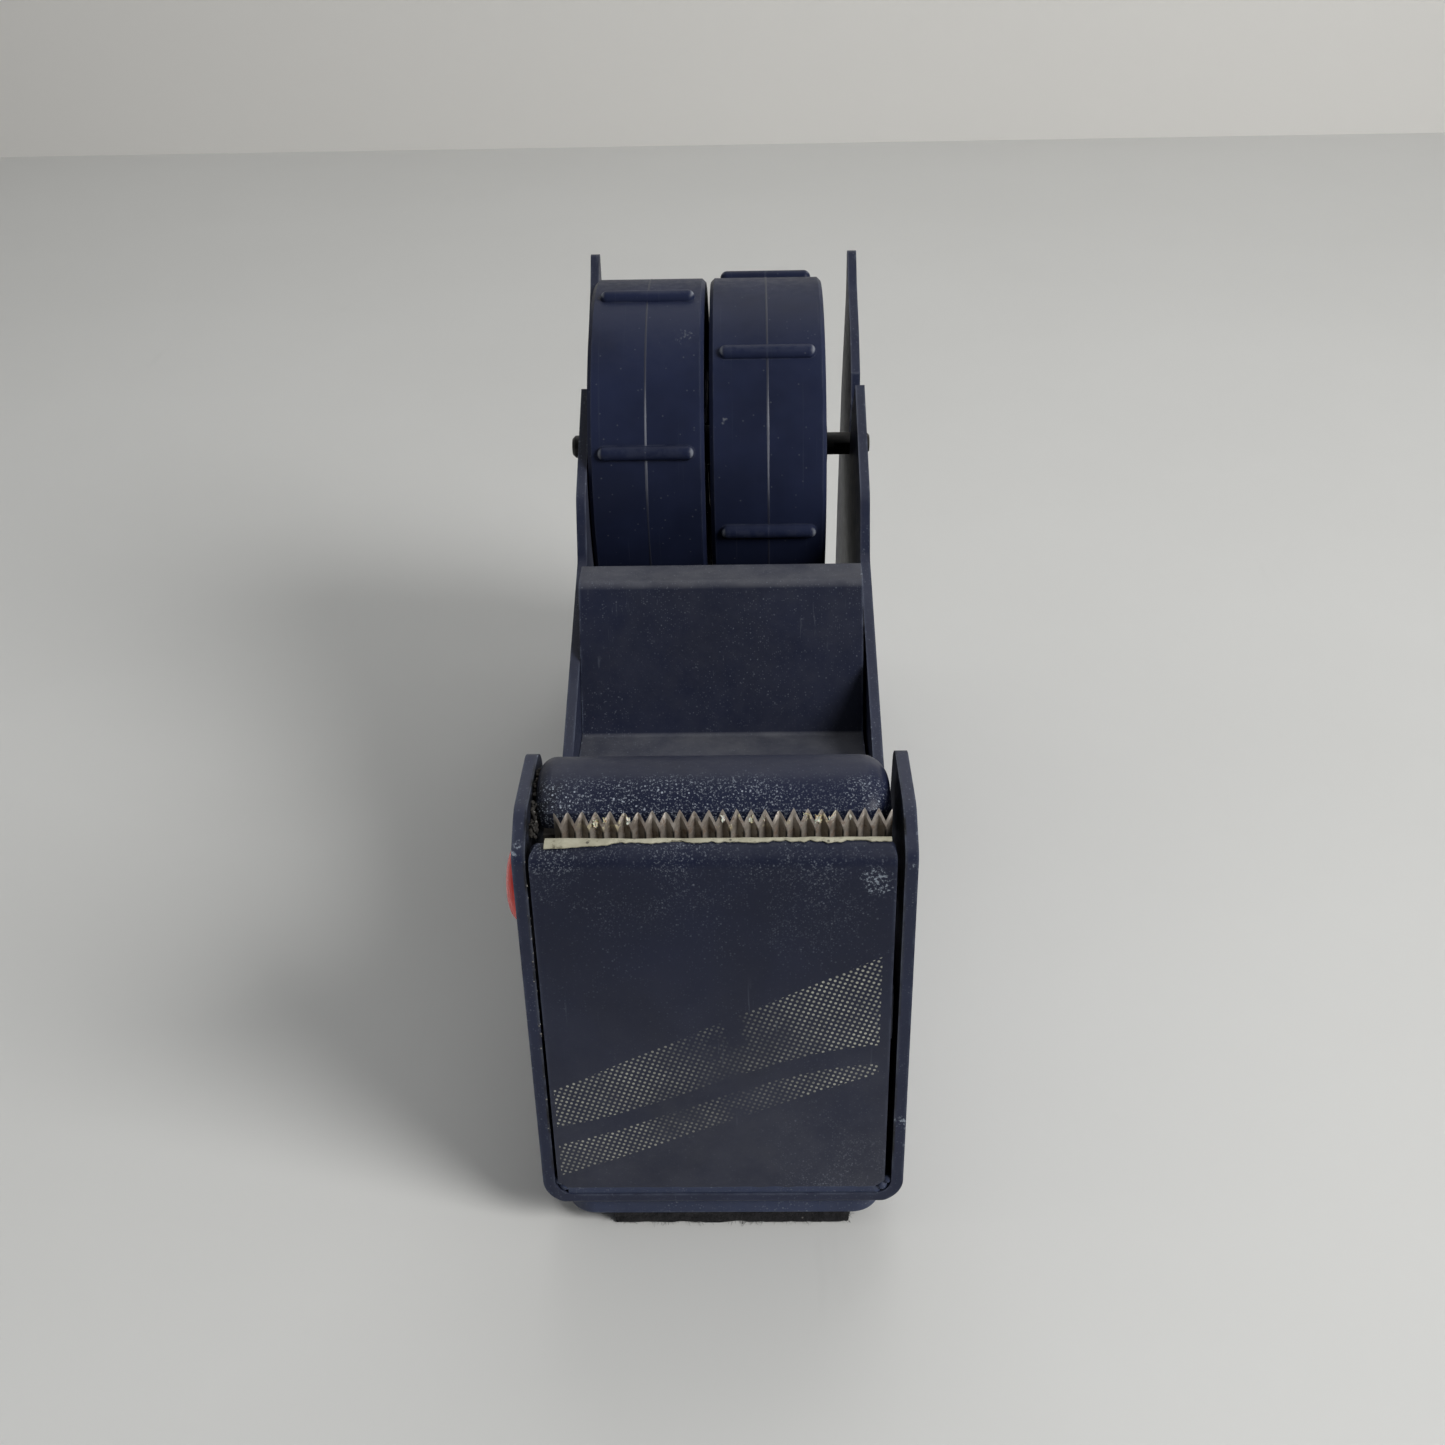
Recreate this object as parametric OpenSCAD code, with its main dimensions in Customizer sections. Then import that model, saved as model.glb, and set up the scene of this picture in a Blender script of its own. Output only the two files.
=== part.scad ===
// Bench-top dispenser for carton tape: a bent steel channel with a serrated cutter at the front
// and two roll hubs on a lift-out axle at the back.
// Front to back is +Y, left to right is +X, and the felt foot stands on Z = 0.

/* [Body] */
// Length of the channel, front to back
body_l = 208; // [206:1:210]
// Width over the two cheeks
body_w = 60; // [59:0.5:61]
// Thickness of the channel's steel sheet
sheet = 2; // [1.8:0.1:2.2]
// Outside radius of the bend between cheek and base
bend_r = 5; // [4:0.5:6]
// Height of the cheeks at the head
head_z = 81; // [80:0.5:82]
// Height of the cheeks in the dip behind the head
dip_z = 50.5; // [50:0.5:52]
// Height of the cheeks' rear tips
tip_z = 121.5; // [120:0.5:122]

/* [Base] */
// Thickness of the felt foot
felt_t = 2.6; // [1.5:0.1:2.8]
// Width of the felt foot
felt_w = 42; // [40:1:43]
// Thickness of the plinth plate
plinth_t = 3.4; // [3.3:0.1:4.5]
// Width of the plinth plate
plinth_w = 53.2; // [50:0.2:54]
// Radius of the plinth plate's corners
plinth_r = 5; // [4:0.5:6]

/* [Head] */
// Thickness of the front panel
panel_t = 1.6; // [1.5:0.1:1.7]
// Width of the front panel
panel_w = 54.4; // [54:0.1:54.8]
// Height of the front panel's rolled top edge
panel_z = 77.2; // [76.5:0.1:77.5]
// Radius of the roll along the front panel's top edge
panel_roll_r = 3; // [2.6:0.1:3.2]
// Number of teeth on the cutter
teeth = 24; // [22:1:26]
// Width of the cutter
blade_w = 50.6; // [50:0.1:51]
// Height of the cutter's tips
tooth_z = 80.4; // [80:0.1:81]
// Height from the notches to the tips
tooth_h = 2.6; // [2.4:0.1:2.6]
// Radius of the tape rest's crown
rest_r = 10.5; // [10:0.1:11]
// Diameter of the red cap on the left cheek
cap_d = 13; // [12:0.5:14]
// How far the red cap stands out of the cheek
cap_h = 3; // [2.9:0.1:3.3]

/* [Deck] */
// Thickness of the deck cover's sheet
deck_t = 1.5; // [1.2:0.1:1.6]
// Height of the deck's flat floor
deck_z = 50; // [49.5:0.5:50]
// Height of the hump in front of the rolls
hump_z = 78; // [76:0.5:80]

/* [Roll hubs] */
// Distance of the axle behind the front face
axle_y = 155; // [154:0.5:156]
// Height of the axle
axle_z = 82; // [81:0.5:83]
// Diameter of the axle
axle_d = 5; // [4.8:0.1:5.2]
// Lean of the axle slots from the vertical, towards the front
slot_lean = 26.6; // [24:0.2:28]
// Radius of a hub's rim
hub_r = 36.4; // [36:0.1:36.8]
// Width of a hub's rim
hub_w = 24; // [23.6:0.1:24]
// Radius over a hub's grip ribs
grip_r = 38.1; // [37.9:0.1:38.3]
// Number of grip ribs on a hub
grips = 6; // [4:1:8]

/* [Hidden] */
$fn = 64;

eps = 0.01;             // overlap that joins or cuts cleanly
seat_gap = 0.05;        // gap where two pieces lie on each other
sheet_r = 0.6;          // rounding of a cut sheet's corners

// Heights of the stack under the body
plinth_z = felt_t;
web_z = plinth_z + plinth_t;
floor_z = web_z + sheet;
inner_w = body_w - 2 * sheet;

// Screws
m4_r = 1.95;
m4_hole_r = 2.1;
m5_r = 2.45;
m5_hole_r = 2.7;
m5_head_r = 5;
m5_head_h = 2.5;
m5_nut_af = 8;
m5_nut_h = 4;
front_screw_y = 8;
rear_screw_y = 192;
plinth_screw_x = 14;
ballast_screw_y = [32, 80];
ballast_screw_top = 22;

// Head
panel_x = -0.3;
panel_foot = 14;
blade_x = 1.2;
blade_front = 5.25;     // front of the pleats
pleat_depth = 1.1;
blade_t = 0.5;          // strip thickness along Y
blade_low_z = 64;
packing_t = 0.45;
packing_w = 51.4;
packing_x = 0.5;
packing_front = 1.2;    // front edge of the part folded over the panel
packing_fold = 3.05;    // front of the part that hangs behind the panel's roll
packing_back = 5.15;
packing_low_z = 67;
packing_step_z = 75.4;  // height where it steps back to lie against the blade
block_w = 52;
block_front = 7;
block_back = 22.4;
block_low_z = 58;
block_top_z = 76;
rest_w = 54.4;
rest_front = 8.6;
rest_back = 24.2;
rest_y = (rest_front + rest_back) / 2;
rest_top_z = 82.2;
rest_skirt_z = 66;
rest_t = 1.5;
rest_corner_r = 4;
clamp_x = 16;
clamp_z = 71;
clamp_head_r = 3.6;
clamp_head_h = 2.2;
weld_nut_af = 7;
weld_nut_h = 2.9;
tie_y = 12.5;
tie_z = 63.6;
tie_head_r = 3.5;
tie_head_h = 1.5;

// Deck
deck_w = 55.3;
deck_x = -0.3;
deck_front = 1.8;
hump_foot_y = 80;
hump_face_y = 91;
hump_back_y = 100.5;
deck_side_z = 40;
deck_foot_y = 114;
deck_screw_x = 16;
deck_screw_y = 107.5;
deck_screw_r = 1.9;
deck_head_r = 3.5;
deck_head_h = 2;

// Ballast
ballast_w = 48;
ballast_front = 16;
ballast_back = 95;
ballast_z = 45;

// Axle and its slots
axle_left = 34.5;
axle_right = 32.5;
axle_chamfer = 0.7;
flat_w = 3.4;           // across the axle's flats
slot_w = 3.7;
flat_side_gap = 0.4;    // the left flats run this far past the cheek
right_flat_x = 24.5;
mouth_deep_z = 92;      // where the funnel of the mouth meets the slot
mouth_front = [139, 101.5];
mouth_back = [153, 98.6];

// Hubs
hub_wall = 2.2;
hub_face_t = 2;
hub_recess = 1.5;
hub_ring = 3;
hub_edge = 0.8;
boss_r = 4.4;
boss_out = 1.5;         // the right hub's boss, on its right side
boss_between = 1;       // the left hub's boss, towards the right hub
bore_gap = 0.06;
hub_gap = 0.1;          // between the two hubs
cheek_gap = 0.3;        // between the left hub and the left cheek
grip_bead_r = 1.5;
grip_half_l = 10;
face_rib_w = 1.6;
face_rib_h = 0.9;
face_rib_in = 8;
left_grip_angle = 18.2;
right_grip_angle = 51.3;
left_hub_x = -inner_w / 2 + cheek_gap + hub_w / 2;
right_hub_x = left_hub_x + hub_w + boss_between + hub_gap;

navy = [0.07, 0.09, 0.17];
plastic_navy = [0.06, 0.08, 0.16];
zinc = [0.62, 0.62, 0.6];
black_steel = [0.08, 0.08, 0.08];

// The model is drawn from its front face and set with the middle of its foot at the origin
module place() { translate([0, -body_l / 2, 0]) children(); }

// Extrudes a (y, z) drawing across the body, centred at x = dx
module across(w, dx = 0) { translate([dx - w / 2, 0, 0]) rotate([90, 0, 90]) linear_extrude(w) children(); }

// Extrudes an (x, z) drawing backwards from y = y0
module along(l, y0 = 0) { translate([0, y0 + l, 0]) rotate([90, 0, 0]) linear_extrude(l) children(); }

// Cylinders along X and along Y
module x_rod(r, x0, x1) { translate([x0, 0, 0]) rotate([0, 90, 0]) cylinder(r = r, h = x1 - x0); }
module y_rod(r, y0, y1) { translate([0, y0, 0]) rotate([-90, 0, 0]) cylinder(r = r, h = y1 - y0); }

function unit(v) = v / norm(v);
function turn(v, a) = [v.x * cos(a) - v.y * sin(a), v.x * sin(a) + v.y * cos(a)];
function xy(p) = [p[0], p[1]];

// One corner [y, z, r] of an outline, as an arc of radius r
function corner(a, b, c, steps = 6) =
    b[2] == 0 ? [xy(b)] :
    let (u = unit(xy(a) - xy(b)),
         v = unit(xy(c) - xy(b)),
         open = acos(u * v),
         centre = xy(b) + unit(u + v) * b[2] / sin(open / 2),
         start = xy(b) + u * b[2] / tan(open / 2) - centre,
         sweep = -sign(cross(u, v)) * (180 - open))
    [for (k = [0:steps]) centre + turn(start, sweep * k / steps)];

// A closed outline with its corners rounded
function outline(p) =
    let (n = len(p))
    [for (i = [0:n - 1]) each corner(p[(i + n - 1) % n], p[i], p[(i + 1) % n])];

// The same corners moved inwards by d, for an outline drawn clockwise
function inset(p, d) =
    let (n = len(p))
    [for (i = [0:n - 1])
        let (e = unit(xy(p[i]) - xy(p[(i + n - 1) % n])),
             f = unit(xy(p[(i + 1) % n]) - xy(p[i])),
             ne = [e.y, -e.x],
             nf = [f.y, -f.x],
             q = xy(p[i]) + (ne + nf) * d / (1 + ne * nf))
        [q.x, q.y, max(0, p[i][2] - d)]];

// Cheek seen from the side, as corners [y, z, radius], clockwise from the bottom of the front edge
cheek = [
    [0, web_z, sheet_r],
    [0, head_z - 4.5, 3],
    [6.5, head_z, 5],
    [25, head_z, 5],
    [31, dip_z, 7],
    [54, dip_z, 20],
    [110, 74, 3],
    [114.5, 86, 5],
    [mouth_front.x, mouth_front.y, 1.5],
    [mouth_back.x, mouth_back.y, 1.5],
    [160, 105.8, 8],
    [171, 113.5, 8],
    [178, tip_z, 1.2],
    [178.3, 110, 12],
    [190, 84, 30],
    [199, 51, 60],
    [body_l, web_z, sheet_r]
];

// Cross-section of the channel: a U with two bends
module channel_section() {
    difference() {
        round_bottom(body_w, tip_z, bend_r, web_z);
        round_bottom(inner_w, tip_z, bend_r - sheet, floor_z);
    }
}

// A tall rectangle standing on z = z0 with its two lower corners rounded
module round_bottom(w, top, r, z0) {
    translate([-w / 2, z0 + r]) square([w, top]);
    translate([-w / 2 + r, z0]) square([w - 2 * r, r + eps]);
    for (s = [-1, 1]) translate([s * (w / 2 - r), z0 + r]) circle(r);
}

// The slot that an axle end slides in, drawn in the side view
module axle_slot() {
    run = 25;
    translate([axle_y, axle_z]) rotate(slot_lean)
        translate([-slot_w / 2, -axle_d / 2 - seat_gap]) square([slot_w, run]);
    top = 110;
    deep_y = axle_y - (mouth_deep_z - axle_z) * tan(slot_lean);
    half = slot_w / 2 / cos(slot_lean);
    polygon([
        [deep_y - half, mouth_deep_z],
        [mouth_front.x - 1, mouth_front.y],
        [mouth_front.x - 1, top],
        [mouth_back.x, top],
        [mouth_back.x, mouth_back.y],
        [deep_y + half, mouth_deep_z]
    ]);
}

module frame_channel() {
    color(navy) place() difference() {
        intersection() {
            along(body_l) channel_section();
            across(body_w + 2) polygon(outline(cheek));
        }
        across(body_w + 4) axle_slot();
        base_holes(web_z, floor_z, m5_hole_r);
        for (s = [-1, 1]) translate([s * deck_screw_x, deck_screw_y, web_z - 1])
            cylinder(r = deck_screw_r + seat_gap, h = sheet + 2);
        translate([0, tie_y, tie_z]) x_rod(m4_hole_r, -body_w, 0);
        translate([0, tie_y, tie_z]) x_rod(m4_r + seat_gap, 0, body_w);
    }
}

// Holes for the plinth and ballast screws between two heights
module base_holes(z0, z1, r) {
    for (y = [front_screw_y, rear_screw_y], s = [-1, 1])
        translate([s * plinth_screw_x, y, z0 - 1]) cylinder(r = r, h = z1 - z0 + 2);
    for (y = ballast_screw_y) translate([0, y, z0 - 1]) cylinder(r = r, h = z1 - z0 + 2);
}

// A countersunk screw with its head's face at z = plinth_z, standing up to z = top
module base_screw(top) {
    translate([0, 0, plinth_z]) cylinder(r1 = m5_head_r, r2 = m5_r, h = m5_head_h);
    translate([0, 0, plinth_z]) cylinder(r = m5_r, h = top - plinth_z);
}

module base_sinks() {
    sink_h = m5_head_h + m5_hole_r - m5_r;
    module sink() {
        translate([0, 0, plinth_z]) cylinder(r1 = m5_head_r + 0.2, r2 = m5_hole_r, h = sink_h);
    }
    for (y = [front_screw_y, rear_screw_y], s = [-1, 1]) translate([s * plinth_screw_x, y, 0]) sink();
    for (y = ballast_screw_y) translate([0, y, 0]) sink();
}

module plinth_plate() {
    front = 1;
    back = body_l - 1;
    half = plinth_w / 2;
    color(navy) place() difference() {
        translate([0, 0, plinth_z]) linear_extrude(plinth_t - seat_gap) union() {
            translate([-half + plinth_r, front]) square([plinth_w - 2 * plinth_r, back - front]);
            translate([-half, front + plinth_r]) square([plinth_w, back - front - 2 * plinth_r]);
            for (s = [-1, 1], y = [front + plinth_r, back - plinth_r])
                translate([s * (half - plinth_r), y]) circle(plinth_r);
        }
        base_holes(plinth_z, web_z, m5_hole_r);
        base_sinks();
        for (s = [-1, 1]) translate([s * deck_screw_x, deck_screw_y, plinth_z - 1])
            cylinder(r = deck_screw_r + seat_gap, h = plinth_t + 2);
    }
}

module felt_foot() {
    front = 1.2;
    color([0.03, 0.03, 0.035]) place()
        translate([-felt_w / 2, front, 0]) cube([felt_w, body_l - 2 * front, felt_t]);
}

module plinth_screws() {
    out = 1.6;
    color(zinc) place() for (s = [-1, 1]) {
        translate([s * plinth_screw_x, front_screw_y, 0]) base_screw(floor_z + panel_t + m5_nut_h + out);
        translate([s * plinth_screw_x, rear_screw_y, 0]) base_screw(floor_z + m5_nut_h + out);
    }
}

module plinth_nuts() {
    module nut() {
        difference() {
            cylinder(d = m5_nut_af / cos(30), h = m5_nut_h, $fn = 6);
            translate([0, 0, -1]) cylinder(r = m5_r + seat_gap, h = m5_nut_h + 2);
        }
    }
    color(zinc) place() for (s = [-1, 1]) {
        translate([s * plinth_screw_x, front_screw_y, floor_z + panel_t + 2 * seat_gap]) nut();
        translate([s * plinth_screw_x, rear_screw_y, floor_z + seat_gap]) nut();
    }
}

module ballast_block() {
    chamfer = 3;
    color([0.16, 0.15, 0.14]) place() difference() {
        across(ballast_w) polygon([
            [ballast_front, floor_z + seat_gap],
            [ballast_front, ballast_z - chamfer],
            [ballast_front + chamfer, ballast_z],
            [ballast_back - chamfer, ballast_z],
            [ballast_back, ballast_z - chamfer],
            [ballast_back, floor_z + seat_gap]
        ]);
        for (y = ballast_screw_y) translate([0, y, 0])
            cylinder(r = m5_r + seat_gap, h = ballast_screw_top + 2);
    }
}

module ballast_screws() {
    color(zinc) place() for (y = ballast_screw_y) translate([0, y, 0]) base_screw(ballast_screw_top);
}

// Outer line of the deck from its front lip over the hump, closed at z = low, clockwise
function deck_line(low) = [
    [deck_front, low, 0],
    [deck_front, deck_z, 1.5],
    [hump_foot_y, deck_z, 1],
    [hump_face_y, hump_z, 2],
    [hump_back_y, hump_z, 2],
    [hump_back_y, low, 0]
];

module deck_cover() {
    color(navy) place() difference() {
        union() {
            difference() {
                across(deck_w, deck_x) polygon(outline(deck_line(deck_side_z)));
                across(deck_w - 2 * deck_t, deck_x)
                    polygon(outline(inset(deck_line(deck_side_z - 10), deck_t)));
            }
            across(deck_w, deck_x) polygon([
                [hump_back_y - deck_t, deck_side_z + 2],
                [hump_back_y, deck_side_z + 2],
                [hump_back_y, floor_z + seat_gap + deck_t],
                [deck_foot_y, floor_z + seat_gap + deck_t],
                [deck_foot_y, floor_z + seat_gap],
                [hump_back_y - deck_t, floor_z + seat_gap]
            ]);
        }
        // The foot's ends clear the channel's inner bends
        for (s = [-1, 1]) translate([s * (inner_w / 2 - 1) - 2.5, hump_back_y - 5, floor_z - 1])
            cube([5, 25, 4]);
        for (s = [-1, 1]) translate([s * deck_screw_x, deck_screw_y, floor_z - 1])
            cylinder(r = deck_screw_r + seat_gap, h = deck_t + 2);
    }
}

module deck_screws() {
    top = floor_z + 2 * seat_gap + deck_t;
    color(zinc) place() for (s = [-1, 1]) translate([s * deck_screw_x, deck_screw_y, 0]) {
        translate([0, 0, plinth_z + 1]) cylinder(r = deck_screw_r, h = top - plinth_z);
        translate([0, 0, top]) cylinder(r1 = deck_head_r, r2 = deck_head_r - 0.7, h = deck_head_h);
    }
}

// Front panel in the side view: a foot, a tall face and a rolled top edge
module panel_profile() {
    foot_r = 2;
    low = floor_z + seat_gap;
    translate([0, low + foot_r]) square([panel_t, panel_z - panel_roll_r - low - foot_r]);
    intersection() {
        translate([foot_r, low + foot_r]) difference() {
            circle(foot_r);
            circle(foot_r - panel_t);
        }
        translate([0, low]) square([foot_r, foot_r]);
    }
    translate([foot_r, low]) square([panel_foot - foot_r, panel_t]);
    intersection() {
        translate([panel_roll_r, panel_z - panel_roll_r]) difference() {
            circle(panel_roll_r);
            circle(panel_roll_r - panel_t);
        }
        translate([0, panel_z - panel_roll_r]) square([panel_roll_r, panel_roll_r]);
    }
}

module front_panel() {
    corner_r = 1.5;
    half = panel_w / 2;
    foot_half = 24;
    foot_top = floor_z + 3;
    color(navy) place() difference() {
        intersection() {
            across(panel_w, panel_x) panel_profile();
            along(panel_foot + 1, -0.5) translate([panel_x, 0]) polygon(outline([
                [-foot_half, floor_z, 0],
                [-half, foot_top, 0],
                [-half, panel_z, corner_r],
                [half, panel_z, corner_r],
                [half, foot_top, 0],
                [foot_half, floor_z, 0]
            ]));
        }
        for (s = [-1, 1]) translate([s * plinth_screw_x, front_screw_y, floor_z - 1])
            cylinder(r = m5_hole_r, h = panel_t + 2);
    }
}

module panel_weld_nuts() {
    color(navy) place() for (s = [-1, 1]) translate([s * clamp_x, panel_t + seat_gap, clamp_z])
        difference() {
            rotate([-90, 0, 0]) cylinder(d = weld_nut_af / cos(30), h = weld_nut_h, $fn = 6);
            y_rod(m4_r + seat_gap, -1, weld_nut_h + 1);
        }
}

// Plan of the pleated strip: a zigzag from the left end to the right
function pleats(back) = [for (i = [0:2 * teeth])
    [-blade_w / 2 + i * blade_w / (2 * teeth), blade_front + (i % 2 == 0 ? pleat_depth : 0) + back]];

module clamp_holes(y0, y1) {
    for (s = [-1, 1]) translate([s * clamp_x, 0, clamp_z]) y_rod(m4_hole_r, y0, y1);
}

module blade() {
    front = blade_front - 0.1;
    back = blade_front + pleat_depth + blade_t;
    z_front = tooth_z - tooth_h;
    color([0.38, 0.34, 0.29]) place() difference() {
        intersection() {
            translate([blade_x, 0, blade_low_z]) linear_extrude(tooth_z - blade_low_z + 2)
                polygon(concat(pleats(0), [for (i = [2 * teeth:-1:0]) pleats(blade_t)[i]]));
            across(blade_w + 2, blade_x) polygon([
                [front, blade_low_z],
                [front, z_front],
                [back, tooth_z],
                [back, blade_low_z]
            ]);
        }
        clamp_holes(front - 1, back + 1);
    }
}

module blade_packing() {
    fold_z = panel_z + seat_gap;
    back_face = packing_back - packing_t;
    fold_back = packing_fold + packing_t;
    color([0.78, 0.74, 0.6]) place() difference() {
        across(packing_w, packing_x) polygon([
            [back_face, packing_low_z],
            [back_face, packing_step_z],
            [packing_fold, packing_step_z],
            [packing_fold, fold_z],
            [packing_front, fold_z],
            [packing_front, fold_z + packing_t],
            [fold_back, fold_z + packing_t],
            [fold_back, packing_step_z + packing_t],
            [packing_back, packing_step_z + packing_t],
            [packing_back, packing_low_z]
        ]);
        clamp_holes(back_face - 1, packing_back + 1);
    }
}

module head_block() {
    edge = 1;
    color([0.3, 0.3, 0.31]) place() difference() {
        across(block_w) polygon(outline([
            [block_front, block_low_z, edge],
            [block_front, block_top_z, 0],
            [block_back, block_top_z, 0],
            [block_back, block_low_z, edge]
        ]));
        clamp_holes(block_front - 1, block_back + 1);
        translate([0, tie_y, tie_z]) x_rod(m4_hole_r, -body_w, body_w);
    }
}

// Tape rest in the side view: a crown with a short front skirt and a long rear one
module rest_profile() {
    low = block_top_z + seat_gap;
    crown_z = rest_top_z - rest_r;
    difference() {
        union() {
            intersection() {
                translate([rest_y, crown_z]) circle(rest_r);
                translate([rest_front, low]) square([rest_back - rest_front, rest_r]);
            }
            translate([rest_back - rest_t, rest_skirt_z]) square([rest_t, low - rest_skirt_z + 1]);
        }
        intersection() {
            translate([rest_y, crown_z]) circle(rest_r - rest_t);
            translate([rest_front + rest_t, low - 1])
                square([rest_back - rest_front - 2 * rest_t - seat_gap, rest_r]);
        }
    }
}

module tape_rest() {
    half = rest_w / 2;
    tall = rest_top_z - rest_skirt_z + 2;
    color(navy) place() difference() {
        intersection() {
            union() {
                across(rest_w, panel_x) rest_profile();
                // Closed ends of the crown
                for (s = [-1, 1]) across(rest_t, panel_x + s * (half - rest_t / 2 - 0.3)) intersection() {
                    translate([rest_y, rest_top_z - rest_r]) circle(rest_r - eps);
                    translate([rest_front, block_top_z + seat_gap])
                        square([rest_back - rest_front, rest_r]);
                }
            }
            translate([panel_x, 0, rest_skirt_z - 1]) linear_extrude(tall) polygon(outline([
                [-half, rest_front, 1],
                [-half, rest_back, rest_corner_r],
                [half, rest_back, rest_corner_r],
                [half, rest_front, 1]
            ]));
        }
        clamp_holes(block_back - 1, rest_back + 1);
    }
}

module clamp_screws() {
    color(zinc) place() for (s = [-1, 1]) translate([s * clamp_x, 0, clamp_z]) {
        y_rod(m4_r, panel_t + 0.3, rest_back + 2 * seat_gap);
        translate([0, rest_back + seat_gap, 0]) rotate([-90, 0, 0])
            cylinder(r1 = clamp_head_r, r2 = clamp_head_r - 0.8, h = clamp_head_h);
    }
}

module tie_bolt() {
    color(zinc) place() translate([0, tie_y, tie_z]) {
        x_rod(m4_r, -body_w / 2 - 1, body_w / 2);
        x_rod(tie_head_r, -body_w / 2 - tie_head_h - seat_gap, -body_w / 2 - seat_gap);
    }
}

module bolt_cap() {
    face_x = -body_w / 2 - seat_gap;
    ball_r = (pow(cap_d / 2, 2) + cap_h * cap_h) / (2 * cap_h);
    hollow = tie_head_h + 0.2;
    color([0.75, 0.08, 0.06]) place() translate([face_x, tie_y, tie_z]) difference() {
        intersection() {
            translate([ball_r - cap_h, 0, 0]) sphere(ball_r, $fn = 200);
            x_rod(cap_d / 2, -cap_h - 1, 0);
        }
        x_rod(tie_head_r + 0.2, -hollow, 1);
    }
}

module axle() {
    cut = 4;
    left_flat = body_w / 2 + flat_side_gap;
    module flats(x0, x1) {
        for (s = [-1, 1]) translate([x0, s * (flat_w / 2 + cut / 2) - cut / 2, -cut])
            cube([x1 - x0, cut, 2 * cut]);
    }
    module tip(x, way) {
        r = axle_d / 2;
        translate([x, 0, 0]) rotate([0, way * 90, 0])
            cylinder(r1 = r, r2 = r - axle_chamfer, h = axle_chamfer);
    }
    color(black_steel) place() translate([0, axle_y, axle_z]) rotate([slot_lean, 0, 0]) difference() {
        union() {
            x_rod(axle_d / 2, -axle_left + axle_chamfer, axle_right - axle_chamfer);
            tip(-axle_left + axle_chamfer, -1);
            tip(axle_right - axle_chamfer, 1);
        }
        flats(-left_flat, -inner_w / 2 + flat_side_gap - cheek_gap);
        flats(right_flat_x, axle_right + 1);
    }
}

// One moulded half of a hub, from its parting plane at x = 0 to its side face, boss standing out by out
module hub_half(out, angle) {
    bore_r = axle_d / 2 + bore_gap;
    face = hub_w / 2;
    floor_x = face - hub_recess;
    inner_x = floor_x - hub_face_t;
    rotate([0, 90, 0]) rotate_extrude() polygon([
        [bore_r, 0],
        [boss_r, 0],
        [boss_r, inner_x],
        [hub_r - hub_wall, inner_x],
        [hub_r - hub_wall, 0],
        [hub_r, 0],
        [hub_r, face - hub_edge],
        [hub_r - hub_edge, face],
        [hub_r - hub_ring, face],
        [hub_r - hub_ring, floor_x],
        [boss_r, floor_x],
        [boss_r, face + out],
        [bore_r, face + out]
    ]);
    // Grip ribs across the rim, with round ends
    for (k = [0:grips - 1]) rotate([-angle - k * 360 / grips, 0, 0])
        translate([0, -(grip_r - grip_bead_r), 0]) {
            x_rod(grip_bead_r, 0, grip_half_l - grip_bead_r);
            translate([grip_half_l - grip_bead_r, 0, 0]) sphere(grip_bead_r);
        }
    // Low ribs on the side face
    for (k = [0:grips - 1]) rotate([30 - angle - k * 360 / grips, 0, 0])
        translate([floor_x - eps, -hub_r + hub_ring - eps, -face_rib_w / 2])
            cube([face_rib_h, hub_r - hub_ring - face_rib_in, face_rib_w]);
}

module hub_place(x) { translate([x, axle_y, axle_z]) children(); }

module left_hub_outer_half() {
    color(plastic_navy) place() hub_place(left_hub_x) mirror([1, 0, 0]) hub_half(0, left_grip_angle);
}

module left_hub_inner_half() {
    color(plastic_navy) place() hub_place(left_hub_x) hub_half(boss_between, left_grip_angle);
}

module right_hub_inner_half() {
    color(plastic_navy) place() hub_place(right_hub_x) mirror([1, 0, 0]) hub_half(0, right_grip_angle);
}

module right_hub_outer_half() {
    color(plastic_navy) place() hub_place(right_hub_x) hub_half(boss_out, right_grip_angle);
}

frame_channel();
plinth_plate();
felt_foot();
plinth_screws();
plinth_nuts();
ballast_block();
ballast_screws();
deck_cover();
deck_screws();
front_panel();
panel_weld_nuts();
blade();
blade_packing();
head_block();
tape_rest();
clamp_screws();
tie_bolt();
bolt_cap();
axle();
left_hub_outer_half();
left_hub_inner_half();
right_hub_inner_half();
right_hub_outer_half();
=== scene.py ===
"""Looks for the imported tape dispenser: camera, light, materials and the detailed pieces.

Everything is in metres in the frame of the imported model. X runs across the body,
the front panel faces -Y and the felt foot stands on Z = 0.
"""

import math
import random

import bmesh
import bpy
from mathutils import Matrix, Vector
from mathutils import noise as field


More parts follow.
